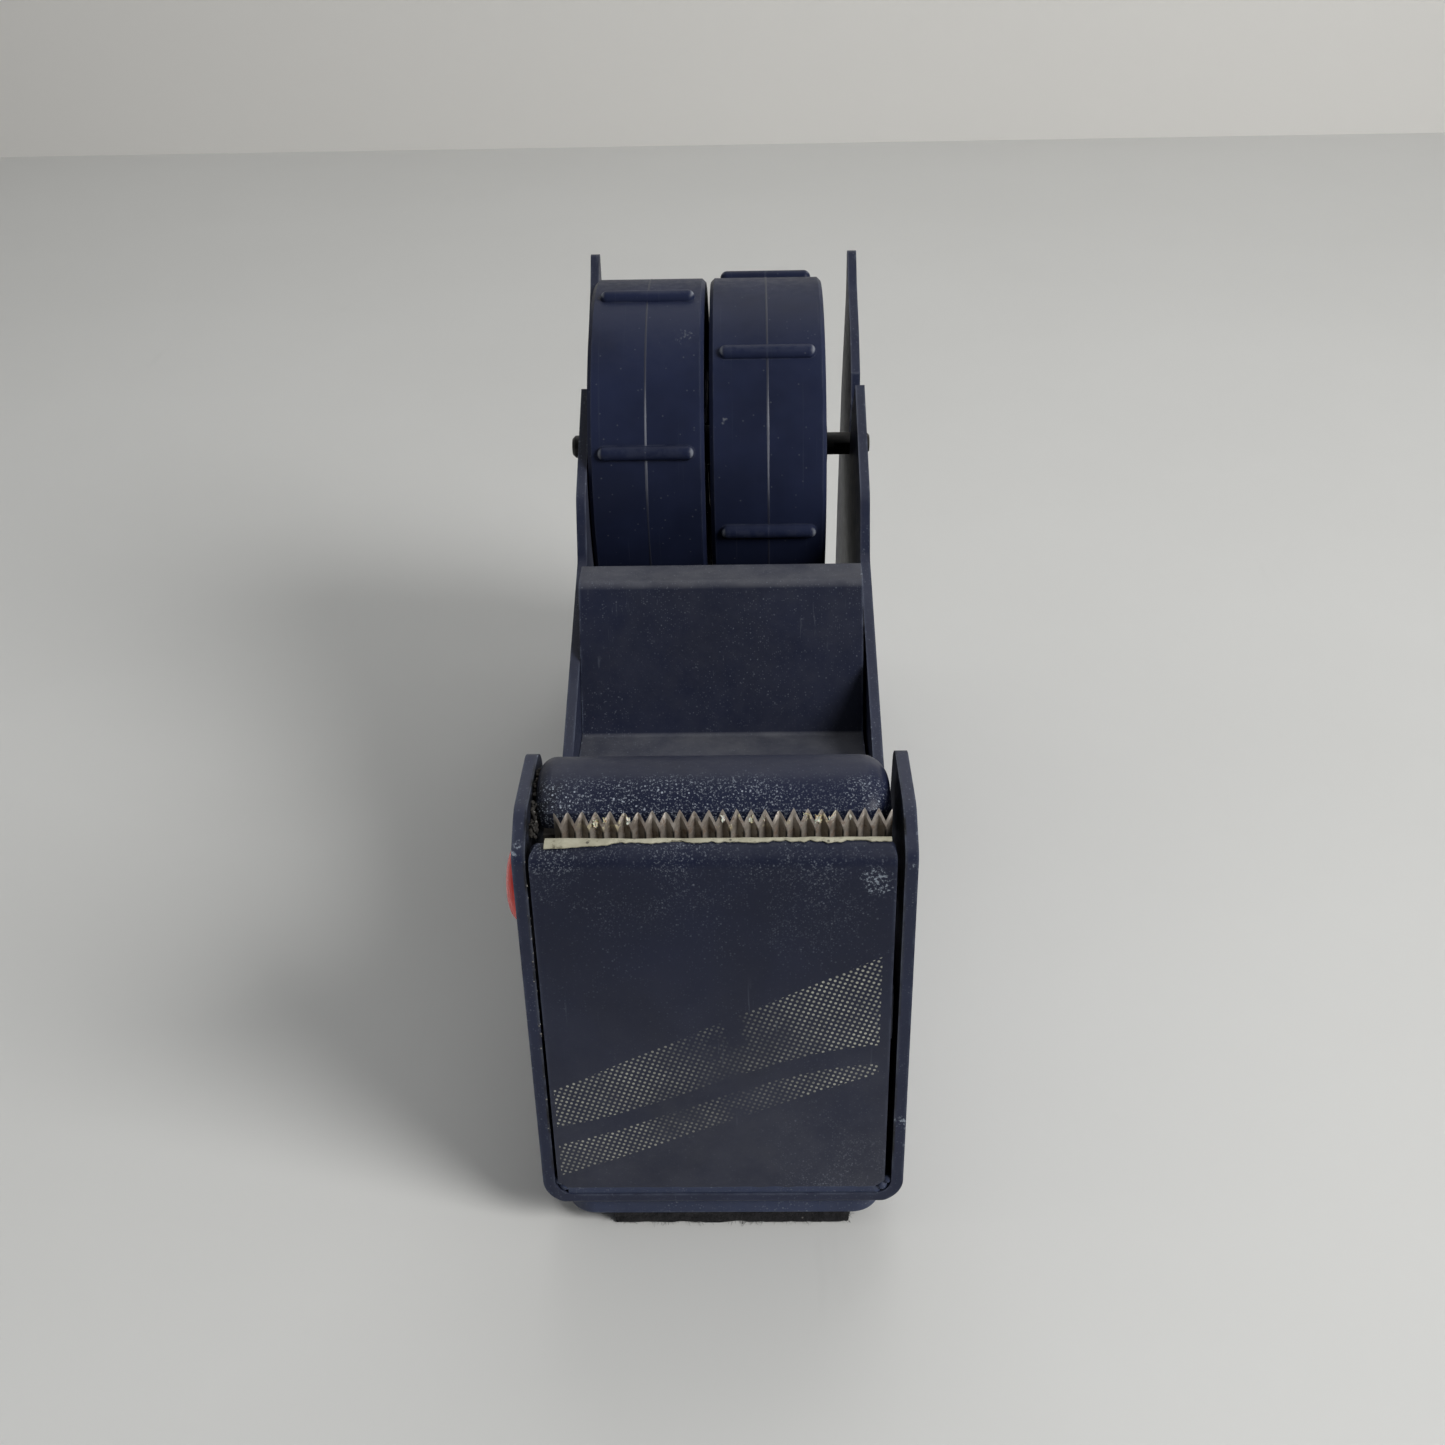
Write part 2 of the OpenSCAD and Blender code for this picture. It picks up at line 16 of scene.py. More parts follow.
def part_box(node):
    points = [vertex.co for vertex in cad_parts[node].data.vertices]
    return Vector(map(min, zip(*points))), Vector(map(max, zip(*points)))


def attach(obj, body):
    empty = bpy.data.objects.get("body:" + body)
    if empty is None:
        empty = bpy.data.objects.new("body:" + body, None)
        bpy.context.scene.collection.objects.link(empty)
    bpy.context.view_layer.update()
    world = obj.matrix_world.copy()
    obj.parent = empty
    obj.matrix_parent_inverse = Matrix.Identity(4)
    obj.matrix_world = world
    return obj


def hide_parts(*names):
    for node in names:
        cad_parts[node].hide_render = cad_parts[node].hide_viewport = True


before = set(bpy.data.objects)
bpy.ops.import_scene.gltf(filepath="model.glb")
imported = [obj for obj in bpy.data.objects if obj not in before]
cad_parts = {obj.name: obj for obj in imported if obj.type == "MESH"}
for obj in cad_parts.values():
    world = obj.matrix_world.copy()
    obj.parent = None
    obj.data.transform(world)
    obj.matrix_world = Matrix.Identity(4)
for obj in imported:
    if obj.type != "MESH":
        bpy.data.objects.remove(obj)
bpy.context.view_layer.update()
MM = 0.001

NAVY = (0.0105, 0.0145, 0.037)
# Painted shade: a darker copy of the navy paint, for the front panel and the deck, whose faces lie in
# shade.
SHADED_NAVY = (0.0055, 0.0085, 0.026)
REST_NAVY = (0.008, 0.011, 0.030)
PLINTH_NAVY = (0.023, 0.032, 0.070)
HUB_NAVY = (0.0115, 0.0155, 0.038)
DUST = (0.30, 0.302, 0.315)


# ---------------------------------------------------------------- camera and light

def place_camera():
    """The photograph's viewpoint, as recovered from the object's perspective."""
    yaw, pitch, roll = math.radians(1.32), math.radians(30.12), math.radians(-1.24)
    across = Vector((math.cos(yaw), math.sin(yaw), 0))
    ahead = Vector((-math.sin(yaw) * math.cos(pitch), math.cos(yaw) * math.cos(pitch), -math.sin(pitch)))
    above = across.cross(ahead)
    right = across * math.cos(roll) + above * math.sin(roll)
    up = above * math.cos(roll) - across * math.sin(roll)
    data = bpy.data.cameras.new("camera")
    data.sensor_width = 36
    data.lens = 41.11
    data.clip_start = 0.01
    data.dof.use_dof = False
    camera = bpy.data.objects.new("camera", data)
    bpy.context.scene.collection.objects.link(camera)
    turn = Matrix((right, up, -ahead)).transposed()
    camera.matrix_world = Matrix.Translation((0.0062, -0.3034, 0.2150)) @ turn.to_4x4()
    bpy.context.scene.camera = camera


def area_light(name, place, aim, size, power, tint=(1, 1, 1)):
    """A round soft light aimed at a point."""
    data = bpy.data.lights.new(name, "AREA")
    data.shape = "DISK"
    data.size = size
    data.energy = power
    data.color = tint
    lamp = bpy.data.objects.new(name, data)
    bpy.context.scene.collection.objects.link(lamp)
    lamp.location = place
    lamp.rotation_euler = (Vector(aim) - Vector(place)).to_track_quat("-Z", "Y").to_euler()


def light_studio():
    """A soft source at the front right, a weaker one high at the back, and a surround."""
    area_light("key", (0.85, -0.62, 0.72), (0, 0.02, 0.03), 0.62, 12.0, (1, 0.995, 0.98))
    area_light("back", (0.1, 0.70, 0.95), (0, 0.1, 0.05), 0.9, 2.4, (0.97, 0.985, 1))
    world = bpy.data.worlds.new("surround")
    world.use_nodes = True
    nodes, links = world.node_tree.nodes, world.node_tree.links
    way = nodes.new("ShaderNodeTexCoord")
    axes = nodes.new("ShaderNodeSeparateXYZ")
    links.new(way.outputs["Generated"], axes.inputs[0])
    depth = nodes.new("ShaderNodeMapRange")
    depth.interpolation_type = "SMOOTHSTEP"
    depth.inputs["From Min"].default_value = -0.75
    depth.inputs["From Max"].default_value = 0.25
    depth.inputs["To Min"].default_value = 0.10
    depth.inputs["To Max"].default_value = 0.42
    links.new(axes.outputs["Y"], depth.inputs["Value"])
    seen = nodes.new("ShaderNodeLightPath")
    pick = nodes.new("ShaderNodeMix")
    links.new(seen.outputs["Is Camera Ray"], pick.inputs["Factor"])
    links.new(depth.outputs["Result"], pick.inputs["A"])
    pick.inputs["B"].default_value = 0.5
    surround = nodes["Background"]
    surround.inputs["Color"].default_value = (0.97, 0.985, 1, 1)
    links.new(pick.outputs["Result"], surround.inputs["Strength"])
    bpy.context.scene.world = world
    bpy.context.scene.view_settings.view_transform = "Standard"


# ---------------------------------------------------------------- node trees

class Surface:
    """A material's node tree, with short calls for the nodes used here."""

    def __init__(self, name):
        self.material = bpy.data.materials.new(name)
        self.material.use_nodes = True
        tree = self.material.node_tree
        self.nodes, self.links = tree.nodes, tree.links
        self.shader = self.nodes["Principled BSDF"]
        self.coord = self.add("ShaderNodeTexCoord")
        self.where = self.coord.outputs["Object"]

    def add(self, kind, inputs=None, **settings):
        node = self.nodes.new(kind)
        for key, value in settings.items():
            setattr(node, key, value)
        for key, value in (inputs or {}).items():
            self.put(node.inputs[key], value)
        return node

    def put(self, socket, value):
        if isinstance(value, bpy.types.NodeSocket):
            self.links.new(value, socket)
        elif socket.type == "RGBA":
            socket.default_value = (*value[:3], 1)
        else:
            socket.default_value = value

    def set(self, **values):
        """Sets the shader's own inputs, named with underscores for spaces."""
        for key, value in values.items():
            self.put(self.shader.inputs[key.replace("_", " ")], value)

    def noise(self, scale, detail=2.0, rough=0.5, at=None):
        node = self.add("ShaderNodeTexNoise", {"Vector": at or self.where, "Scale": scale,
                                               "Detail": detail, "Roughness": rough})
        return node.outputs["Fac"]

    def cells(self, scale, at=None):
        """(distance to the nearest cell point, a random value for each cell)."""
        node = self.add("ShaderNodeTexVoronoi", {"Vector": at or self.where, "Scale": scale})
        parts = self.add("ShaderNodeSeparateColor", {"Color": node.outputs["Color"]})
        return node.outputs["Distance"], parts.outputs["Red"]

    def maths(self, how, a, b=0.0):
        node = self.add("ShaderNodeMath", {0: a, 1: b}, operation=how)
        return node.outputs[0]

    def times(self, first, *rest):
        for other in rest:
            first = self.maths("MULTIPLY", first, other)
        return first

    def either(self, first, *rest):
        for other in rest:
            first = self.maths("MAXIMUM", first, other)
        return first

    def ramp(self, value, low, high, start=0.0, end=1.0):
        node = self.add("ShaderNodeMapRange", {"Value": value, "From Min": low, "From Max": high,
                                               "To Min": start, "To Max": end},
                        interpolation_type="SMOOTHSTEP")
        return node.outputs["Result"]

    def mix(self, factor, a, b):
        node = self.add("ShaderNodeMix", {0: factor, 6: a, 7: b}, data_type="RGBA")
        return node.outputs[2]

    def stretched(self, scale, turn=(0, 0, 0)):
        node = self.add("ShaderNodeMapping", {"Vector": self.where, "Scale": scale, "Rotation": turn})
        return node.outputs["Vector"]

    def axes(self, vector=None):
        node = self.add("ShaderNodeSeparateXYZ", {"Vector": vector or self.where})
        return node.outputs["X"], node.outputs["Y"], node.outputs["Z"]

    def upward(self, low=0.15, high=0.95):
        """1 where the surface faces up at rest."""
        return self.ramp(self.axes(self.coord.outputs["Normal"])[2], low, high)

    def edges(self, radius=0.8 * MM, low=0.01, high=0.12):
        """1 along the object's edges."""
        flat = self.add("ShaderNodeNewGeometry").outputs["Normal"]
        soft = self.add("ShaderNodeBevel", {"Radius": radius}, samples=4).outputs["Normal"]
        dot = self.add("ShaderNodeVectorMath", {0: flat, 1: soft}, operation="DOT_PRODUCT")
        return self.ramp(self.maths("SUBTRACT", 1.0, dot.outputs["Value"]), low, high)

    def scratched(self, point, radius):
        """Small broken scratches around a point of the object."""
        lines = self.ramp(self.noise(1700, 4, 0.7), 0.50, 0.58)
        return self.times(self.near(point, radius), lines)

    def near(self, point, radius):
        """1 at a point of the object, falling to 0 at the radius, with an uneven outline."""
        gap = self.add("ShaderNodeVectorMath", {0: self.where, 1: point}, operation="DISTANCE")
        shape = self.ramp(self.noise(1400, 3), 0.3, 0.7, -0.35 * radius, 0.35 * radius)
        return self.ramp(self.maths("ADD", gap.outputs["Value"], shape), 0.6 * radius, radius, 1.0, 0.0)

    def bumps(self, *layers):
        """Stacks (height, strength, distance) layers into the shader's normal."""
        normal = None
        for height, strength, distance in layers:
            inputs = {"Height": height, "Strength": strength, "Distance": distance}
            if normal:
                inputs["Normal"] = normal
            normal = self.add("ShaderNodeBump", inputs).outputs["Normal"]
        self.put(self.shader.inputs["Normal"], normal)


def specks(surface, scale, size, share):
    """Small separate grains: size is their radius in cells, share is how many cells hold one."""
    distance, pick = surface.cells(scale)
    here = surface.maths("LESS_THAN", pick, share)
    return surface.times(surface.ramp(distance, size * 0.6, size, 1.0, 0.0), here)


def painted(name, base=NAVY, rough=0.40, dust=0.22, film=0.03, grains=0.4, wear=0.6, chips=(),
            grain_zone=None, grime_and_shade_zone=None, film_and_light_zone=None, printed=None):
    """Baked paint on steel, dusty on top, lighter along its edges and chipped here and there.

    A zone is a function that takes the surface and gives a mask from 0 to 1. The film zone adds grey
    dust, and on the front panel painted light from the table; the grime zone adds black grime on the tape
    rest and painted shade on the cheeks.
    """
    s = Surface(name)
    broad = s.noise(38, 4, 0.6)
    fine = s.noise(420, 4, 0.65)
    colour = s.mix(s.ramp(broad, 0.3, 0.7), base, tuple(c * 1.35 for c in base))
    if printed:
        colour = printed(s, colour)
    blotch = s.ramp(s.noise(90, 6, 0.7), 0.28, 0.72, 0.45, 1.0)
    thin = s.ramp(fine, 0.35, 0.75, film * 0.4, film * 1.6)
    veil = s.maths("ADD", s.times(s.upward(), blotch, dust), thin)
    # The film zone mixes in like dust: real dust on the cheeks and tape rest, painted table light on the
    # front panel.
    if film_and_light_zone:
        veil = s.maths("ADD", veil, s.times(film_and_light_zone(s), blotch))
    colour = s.mix(veil, colour, DUST)
    streak = s.ramp(s.noise(1.0, 3, 0.6, s.stretched((900, 260, 60), (0.25, 0.3, 0.1))), 0.66, 0.72)
    rubbed = s.times(streak, s.ramp(s.noise(45, 3), 0.48, 0.62), 0.45)
    colour = s.mix(rubbed, colour, (0.08, 0.09, 0.12))
    # The grime zone darkens towards black: real grime on the tape rest, painted shade on the cheeks'
    # inner faces.
    if grime_and_shade_zone:
        black = s.times(grime_and_shade_zone(s), s.ramp(fine, 0.3, 0.6, 0.6, 1.0))
        colour = s.mix(black, colour, (0.006, 0.006, 0.006))
    small = specks(s, 2600, 0.36, 0.30)
    middling = specks(s, 1500, 0.28, 0.16)
    large = specks(s, 620, 0.14, 0.02)
    patch = s.ramp(s.noise(70, 3, 0.6), 0.35, 0.65, 0.25, 1.0)
    if grain_zone:
        patch = s.times(patch, grain_zone(s))
    powder = s.ramp(s.noise(2900, 3, 0.75), 0.555, 0.65)
    grain = s.times(s.either(s.times(small, 0.45), s.times(middling, 0.7), large), patch, grains)
    if grain_zone:
        grain = s.either(grain, s.times(powder, s.ramp(patch, 0.12, 0.9), grains, 0.62))
    colour = s.mix(grain, colour, (0.34, 0.38, 0.45))
    edge = s.edges()
    worn = s.times(edge, s.ramp(s.noise(240, 4, 0.6), 0.36, 0.62), wear)
    colour = s.mix(worn, colour, (0.085, 0.10, 0.145))
    chip = s.times(edge, s.ramp(s.noise(520, 3, 0.6), 0.66, 0.70), wear)
    for point, radius in chips:
        chip = s.either(chip, s.scratched(point, radius))
    colour = s.mix(s.times(chip, 0.85), colour, (0.27, 0.31, 0.37))
    matte = s.maths("ADD", s.ramp(fine, 0.2, 0.8, rough - 0.05, rough + 0.09), s.times(veil, 0.9))
    s.set(Base_Color=colour, Roughness=s.maths("MINIMUM", s.either(matte, s.times(grain, 0.9)), 0.95))
    s.shader.inputs["Specular IOR Level"].default_value = 0.26
    s.bumps((s.noise(1500, 2), 0.16, 0.05 * MM), (broad, 0.06, 0.4 * MM),
            (grain, 0.35, 0.08 * MM), (chip, -0.5, 0.1 * MM))
    return s.material


# ---------------------------------------------------------------- mesh helpers

def add_mesh(name, bm, body, material, replaced=(), smooth=40):
    """Makes an object of a bmesh, shaded smooth up to the given angle, and parents it to its body's
    empty.
    """
    mesh = bpy.data.meshes.new(name)
    bmesh.ops.recalc_face_normals(bm, faces=bm.faces)
    bm.to_mesh(mesh)
    bm.free()
    for face in mesh.polygons:
        face.use_smooth = True
    mesh.set_sharp_from_angle(angle=math.radians(smooth))
    mesh.materials.append(material)
    piece = bpy.data.objects.new(name, mesh)
    bpy.context.scene.collection.objects.link(piece)
    even = piece.modifiers.new("even", "WEIGHTED_NORMAL")
    even.keep_sharp = True
    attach(piece, body)
    if replaced:
        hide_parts(*replaced)
    return piece


def softened(node, body, material, width, segments=3, angle=28):
    """A copy of a CAD node with its hard edges rounded."""
    bm = bmesh.new()
    bm.from_mesh(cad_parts[node].data)
    bmesh.ops.remove_doubles(bm, verts=bm.verts, dist=0.002 * MM)
    bmesh.ops.dissolve_limit(bm, angle_limit=math.radians(0.6), verts=bm.verts, edges=bm.edges)
    hard = [e for e in bm.edges if e.is_manifold and e.calc_face_angle(0) > math.radians(angle)]
    bmesh.ops.bevel(bm, geom=hard, offset=width, segments=segments, profile=0.5,
                    affect="EDGES", clamp_overlap=True)
    return add_mesh(node + "_finish", bm, body, material, (node,))


# ---------------------------------------------------------------- floor

def build_floor():
    """A pale worn table and the wall behind it."""
    s = Surface("table_white")
    worn = s.noise(3, 5, 0.6)
    marks = s.ramp(s.noise(1.0, 4, 0.6, s.stretched((60, 9, 1), (0, 0, 0.6))), 0.66, 0.8, 0.0, 0.10)
    colour = s.mix(s.ramp(worn, 0.3, 0.7), (0.70, 0.70, 0.683), (0.73, 0.73, 0.713))
    s.set(Base_Color=s.mix(marks, colour, (0.45, 0.45, 0.43)), Roughness=s.ramp(worn, 0.3, 0.7, 0.5, 0.6))
    s.bumps((s.noise(260, 4), 0.05, 0.3 * MM))
    bm = bmesh.new()
    wall_y, half, rise = 0.82, 2.2, 1.4
    front = [bm.verts.new((x, -1.6, 0)) for x in (-half, half)]
    foot = [bm.verts.new((x, wall_y, 0)) for x in (half, -half)]
    bm.faces.new(front + foot)
    mesh = bpy.data.meshes.new("table")
    bm.to_mesh(mesh)
    bm.free()
    mesh.materials.append(s.material)
    table = bpy.data.objects.new("table", mesh)
    w = Surface("wall_white")
    w.set(Base_Color=w.mix(w.noise(4, 4), (0.88, 0.865, 0.835), (0.90, 0.885, 0.855)), Roughness=0.9)
    bm = bmesh.new()
    corners = [(-half, wall_y, 0), (half, wall_y, 0), (half, wall_y, rise), (-half, wall_y, rise)]
    bm.faces.new([bm.verts.new(c) for c in corners])
    mesh = bpy.data.meshes.new("wall")
    bm.to_mesh(mesh)
    bm.free()
    mesh.materials.append(w.material)
    wall = bpy.data.objects.new("wall", mesh)
    for o in (table, wall):
        bpy.context.scene.collection.objects.link(o)


# ---------------------------------------------------------------- paint on each piece

def slab(s, value, low, high, fade=1.0 * MM):
    """1 where the value lies between low and high."""
    rise = s.ramp(value, low - fade, low + fade)
    return s.times(rise, s.ramp(value, high - fade, high + fade, 1.0, 0.0))


def cubic(s, x, a, b, c, d):
    """a x^3 + b x^2 + c x + d."""
    inner = s.maths("MULTIPLY_ADD", x, a)
    inner.node.inputs[2].default_value = b
    middle = s.maths("MULTIPLY_ADD", x, inner)
    middle.node.inputs[2].default_value = c
    outer = s.maths("MULTIPLY_ADD", x, middle)
    outer.node.inputs[2].default_value = d
    return outer


def dot_bands(s, colour):
    """Two bands of small pale dots printed across the front panel, rubbed away in the middle."""
    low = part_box("front_panel")[0]
    pitch, turn = 0.82 * MM, math.radians(20)
    x, y, z = s.axes()
    across = s.maths("MULTIPLY", x, 1 / (25 * MM))
    up = s.maths("MULTIPLY", s.maths("SUBTRACT", z, low.z - 8.05 * MM), 1 / MM)
    # Each band edge is a cubic over the half width, in millimetres above the table.
    top = s.maths("LESS_THAN", up, cubic(s, across, 0, 0, 12.8, 44.9))
    top = s.times(top, s.maths("GREATER_THAN", up, cubic(s, across, -2.42, -0.92, 10.71, 32.9)))
    lower = s.maths("LESS_THAN", up, cubic(s, across, -2.1, -1.55, 10.38, 29.65))
    lower = s.times(lower, s.maths("GREATER_THAN", up, cubic(s, across, -0.6, -0.06, 11.17, 23.8)))
    ends = s.times(s.maths("LESS_THAN", x, 25.2 * MM), s.maths("GREATER_THAN", x, -26.8 * MM))
    band = s.times(s.either(top, lower), ends)
    tilt = s.add("ShaderNodeMapping", {"Vector": s.where, "Rotation": (0, -turn, 0)}).outputs["Vector"]
    u, _, v = s.axes(tilt)
    cell = [s.maths("SUBTRACT", s.maths("FRACT", s.maths("MULTIPLY", c, 1 / pitch)), 0.5) for c in (u, v)]
    reach = s.maths("SQRT", s.maths("ADD", s.times(cell[0], cell[0]), s.times(cell[1], cell[1])))
    dot = s.ramp(reach, 0.22, 0.31, 1.0, 0.0)
    rubbed = s.maths("ABSOLUTE", s.maths("SUBTRACT", x, 1.0 * MM))
    uneven = s.ramp(s.noise(130, 4, 0.6), 0.3, 0.7, -0.28, 0.28)
    left = s.maths("ADD", s.ramp(rubbed, 3 * MM, 17 * MM, 0.12, 0.8), uneven)
    patchy = s.ramp(s.noise(900, 2), 0.3, 0.6, 0.55, 1.0)
    facing = s.maths("LESS_THAN", y, low.y + 0.4 * MM)
    return s.mix(s.times(band, dot, left, patchy, facing), colour, (0.44, 0.44, 0.38))


def panel_grains(s):
    """Grains lie thickest under the cutter and again low on the right."""
    x, _, z = s.axes()
    upper = s.either(s.ramp(z, 50 * MM, 72 * MM, 0.12, 0.5), s.ramp(z, 70 * MM, 75.5 * MM, 0.0, 1.0))
    corner = s.times(s.ramp(x, 2 * MM, 12 * MM), s.ramp(z, 14 * MM, 34 * MM, 0.75, 0.0))
    return s.either(upper, corner)


def panel_table_light(s):
    """Painted light from the table: a grey lift, stronger towards the foot."""
    z = s.axes()[2]
    return s.ramp(z, 6 * MM, 70 * MM, 0.125, 0.0)


def rest_grains(s):
    """Grains crowd the tape rest's front slope next to the teeth."""
    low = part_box("tape_rest")[0]
    y = s.axes()[1]
    return s.ramp(y, low.y + 1.5 * MM, low.y + 6.5 * MM, 1.8, 0.15)


def rest_film(s):
    """Dust on the tape rest's crown, with one band wiped clean."""
    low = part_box("tape_rest")[0]
    x, y, _ = s.axes()
    back = s.ramp(y, low.y + 6.0 * MM, low.y + 11 * MM, 0.0, 0.075)
    left = s.ramp(x, low.x + 2 * MM, low.x + 12 * MM, 0.06, 0.0)
    return s.maths("ADD", back, left)


def rest_grime(s):
    """Black grime where the left end meets the cheek."""
    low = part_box("tape_rest")[0]
    x, y, _ = s.axes()
    front = s.ramp(y, low.y + 7 * MM, low.y + 1 * MM, 0.25, 1.0)
    left = s.ramp(x, low.x, low.x + 6.5 * MM, 1.0, 0.0)
    return s.times(left, front, s.ramp(s.noise(500, 3), 0.35, 0.55, 0.3, 1.0))


def cheek_film(s):
    """Grey dust on the inner faces of the cheeks, behind the deck."""
    x, y, _ = s.axes()
    inside = s.ramp(s.maths("ABSOLUTE", x), 28.1 * MM, 28.4 * MM, 1.0, 0.0)
    behind = s.ramp(y, 0.0, 20 * MM, 0.15, 1.0)
    return s.times(inside, behind, 0.16)


def cheek_gap_shade(s):
    """Painted shade, near black, on the cheeks' inner faces around the head, where they lie in shadow."""
    x, y, z = s.axes()
    inside = slab(s, s.maths("ABSOLUTE", x), 27.6 * MM, 28.3 * MM, 0.15 * MM)
    ahead = s.ramp(y, -80 * MM, -76 * MM, 1.0, 0.0)
    patchy = s.ramp(s.noise(300, 3), 0.3, 0.6, 0.3, 1.0)
    return s.times(inside, ahead, s.ramp(z, 12 * MM, 16 * MM), patchy)


# ---------------------------------------------------------------- other materials

def hub_plastic(name, centre_x, scuffs=()):
    """Satin moulded plastic, greyed on top, with painted highlights on the rib ends and edges, and fine
    turning scratches.
    """
    s = Surface(name)
    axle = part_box("axle")
    centre = (0, (axle[0].y + axle[1].y) / 2, (axle[0].z + axle[1].z) / 2)
    x, y, z = s.axes()
    dy = s.maths("SUBTRACT", y, centre[1])
    dz = s.maths("SUBTRACT", z, centre[2])
    radius = s.maths("SQRT", s.maths("ADD", s.times(dy, dy), s.times(dz, dz)))
    broad = s.noise(30, 4, 0.6)
    fine = s.noise(500, 3, 0.6)
    colour = s.mix(s.ramp(broad, 0.35, 0.65), HUB_NAVY, tuple(c * 1.5 for c in HUB_NAVY))
    veil = s.maths("ADD", s.times(s.upward(0.6, 1.0), s.ramp(fine, 0.3, 0.7, 0.012, 0.03)), 0.002)
    colour = s.mix(veil, colour, DUST)
    side = s.maths("ABSOLUTE", s.maths("SUBTRACT", x, centre_x))
    # Painted highlight: the rib ends go pale grey, as where light catches their rounded ends.
    tips = s.times(s.ramp(side, 8.9 * MM, 9.7 * MM), s.ramp(radius, 37.1 * MM, 37.7 * MM))
    colour = s.mix(s.times(tips, 0.75), colour, (0.30, 0.32, 0.36))
    crest = s.times(s.ramp(radius, 37.6 * MM, 38.05 * MM), s.ramp(fine, 0.4, 0.6), 0.10)
    colour = s.mix(crest, colour, (0.10, 0.11, 0.15))
    rings = s.ramp(s.noise(1.0, 2, 0.5, s.stretched((1800, 30, 30))), 0.66, 0.75, 0.0, 0.16)
    colour = s.mix(rings, colour, (0.07, 0.08, 0.11))
    # Painted highlight: the hub's edges are made paler, as light catching the rim chamfers.
    edge = s.times(s.edges(0.6 * MM), s.ramp(s.noise(200, 3), 0.35, 0.6), 0.5)
    colour = s.mix(edge, colour, (0.07, 0.08, 0.115))
    scuff = s.times(specks(s, 1400, 0.3, 0.05), 0.16)
    for point, size in scuffs:
        scuff = s.either(scuff, s.times(s.near(point, size), s.ramp(s.noise(1100, 3), 0.5, 0.68), 0.4))
    colour = s.mix(scuff, colour, (0.26, 0.28, 0.31))
    satin = s.ramp(fine, 0.3, 0.7, 0.36, 0.46)
    s.set(Base_Color=colour, Roughness=s.maths("ADD", satin, s.times(veil, 2.0)))
    s.shader.inputs["Specular IOR Level"].default_value = 0.12
    s.bumps((s.noise(2600, 2), 0.10, 0.03 * MM), (broad, 0.05, 0.3 * MM), (rings, -0.3, 0.04 * MM))
    return s.material


def flash_plastic():
    """The parting line of a moulded hub, a little rubbed all round, with a painted highlight along a band
    of its upper half.
    """
    s = Surface("flash_plastic")
    z = s.axes()[2]
    # Painted highlight: the line goes paler over a band of its upper half, where light catches it.
    worn = s.times(s.ramp(s.noise(55, 3), 0.32, 0.62, 0.15, 1.0), slab(s, z, 86 * MM, 103 * MM, 5 * MM))
    worn = s.maths("ADD", worn, 0.08)
    colour = s.mix(worn, (0.011, 0.014, 0.032), (0.15, 0.16, 0.20))
    s.set(Base_Color=colour, Roughness=s.ramp(worn, 0, 1, 0.5, 0.4))
    s.bumps((s.noise(1800, 2), 0.2, 0.05 * MM))
    return s.material


def steel(name, base, tint, metallic, rough, rust=0.0, rust_scale=260):
    """Plain or plated metal with stains; rust is the share of the surface gone brown."""
    s = Surface(name)
    cloud = s.noise(170, 5, 0.6)
    fine = s.noise(900, 3, 0.6)
    colour = s.mix(s.ramp(cloud, 0.3, 0.7), base, tint)
    brown = s.ramp(s.noise(rust_scale, 5, 0.7), 0.72 - rust, 0.82 - rust)
    colour = s.mix(brown, colour, (0.055, 0.03, 0.017))
    s.set(Base_Color=colour, Roughness=s.maths("ADD", s.ramp(fine, 0.3, 0.7, rough - 0.06, rough + 0.1),
                                                s.times(brown, 0.3)))
    s.put(s.shader.inputs["Metallic"], s.times(s.maths("SUBTRACT", 1.0, brown), metallic))
    s.bumps((fine, 0.2, 0.05 * MM), (brown, 0.3, 0.1 * MM))
    return s.material


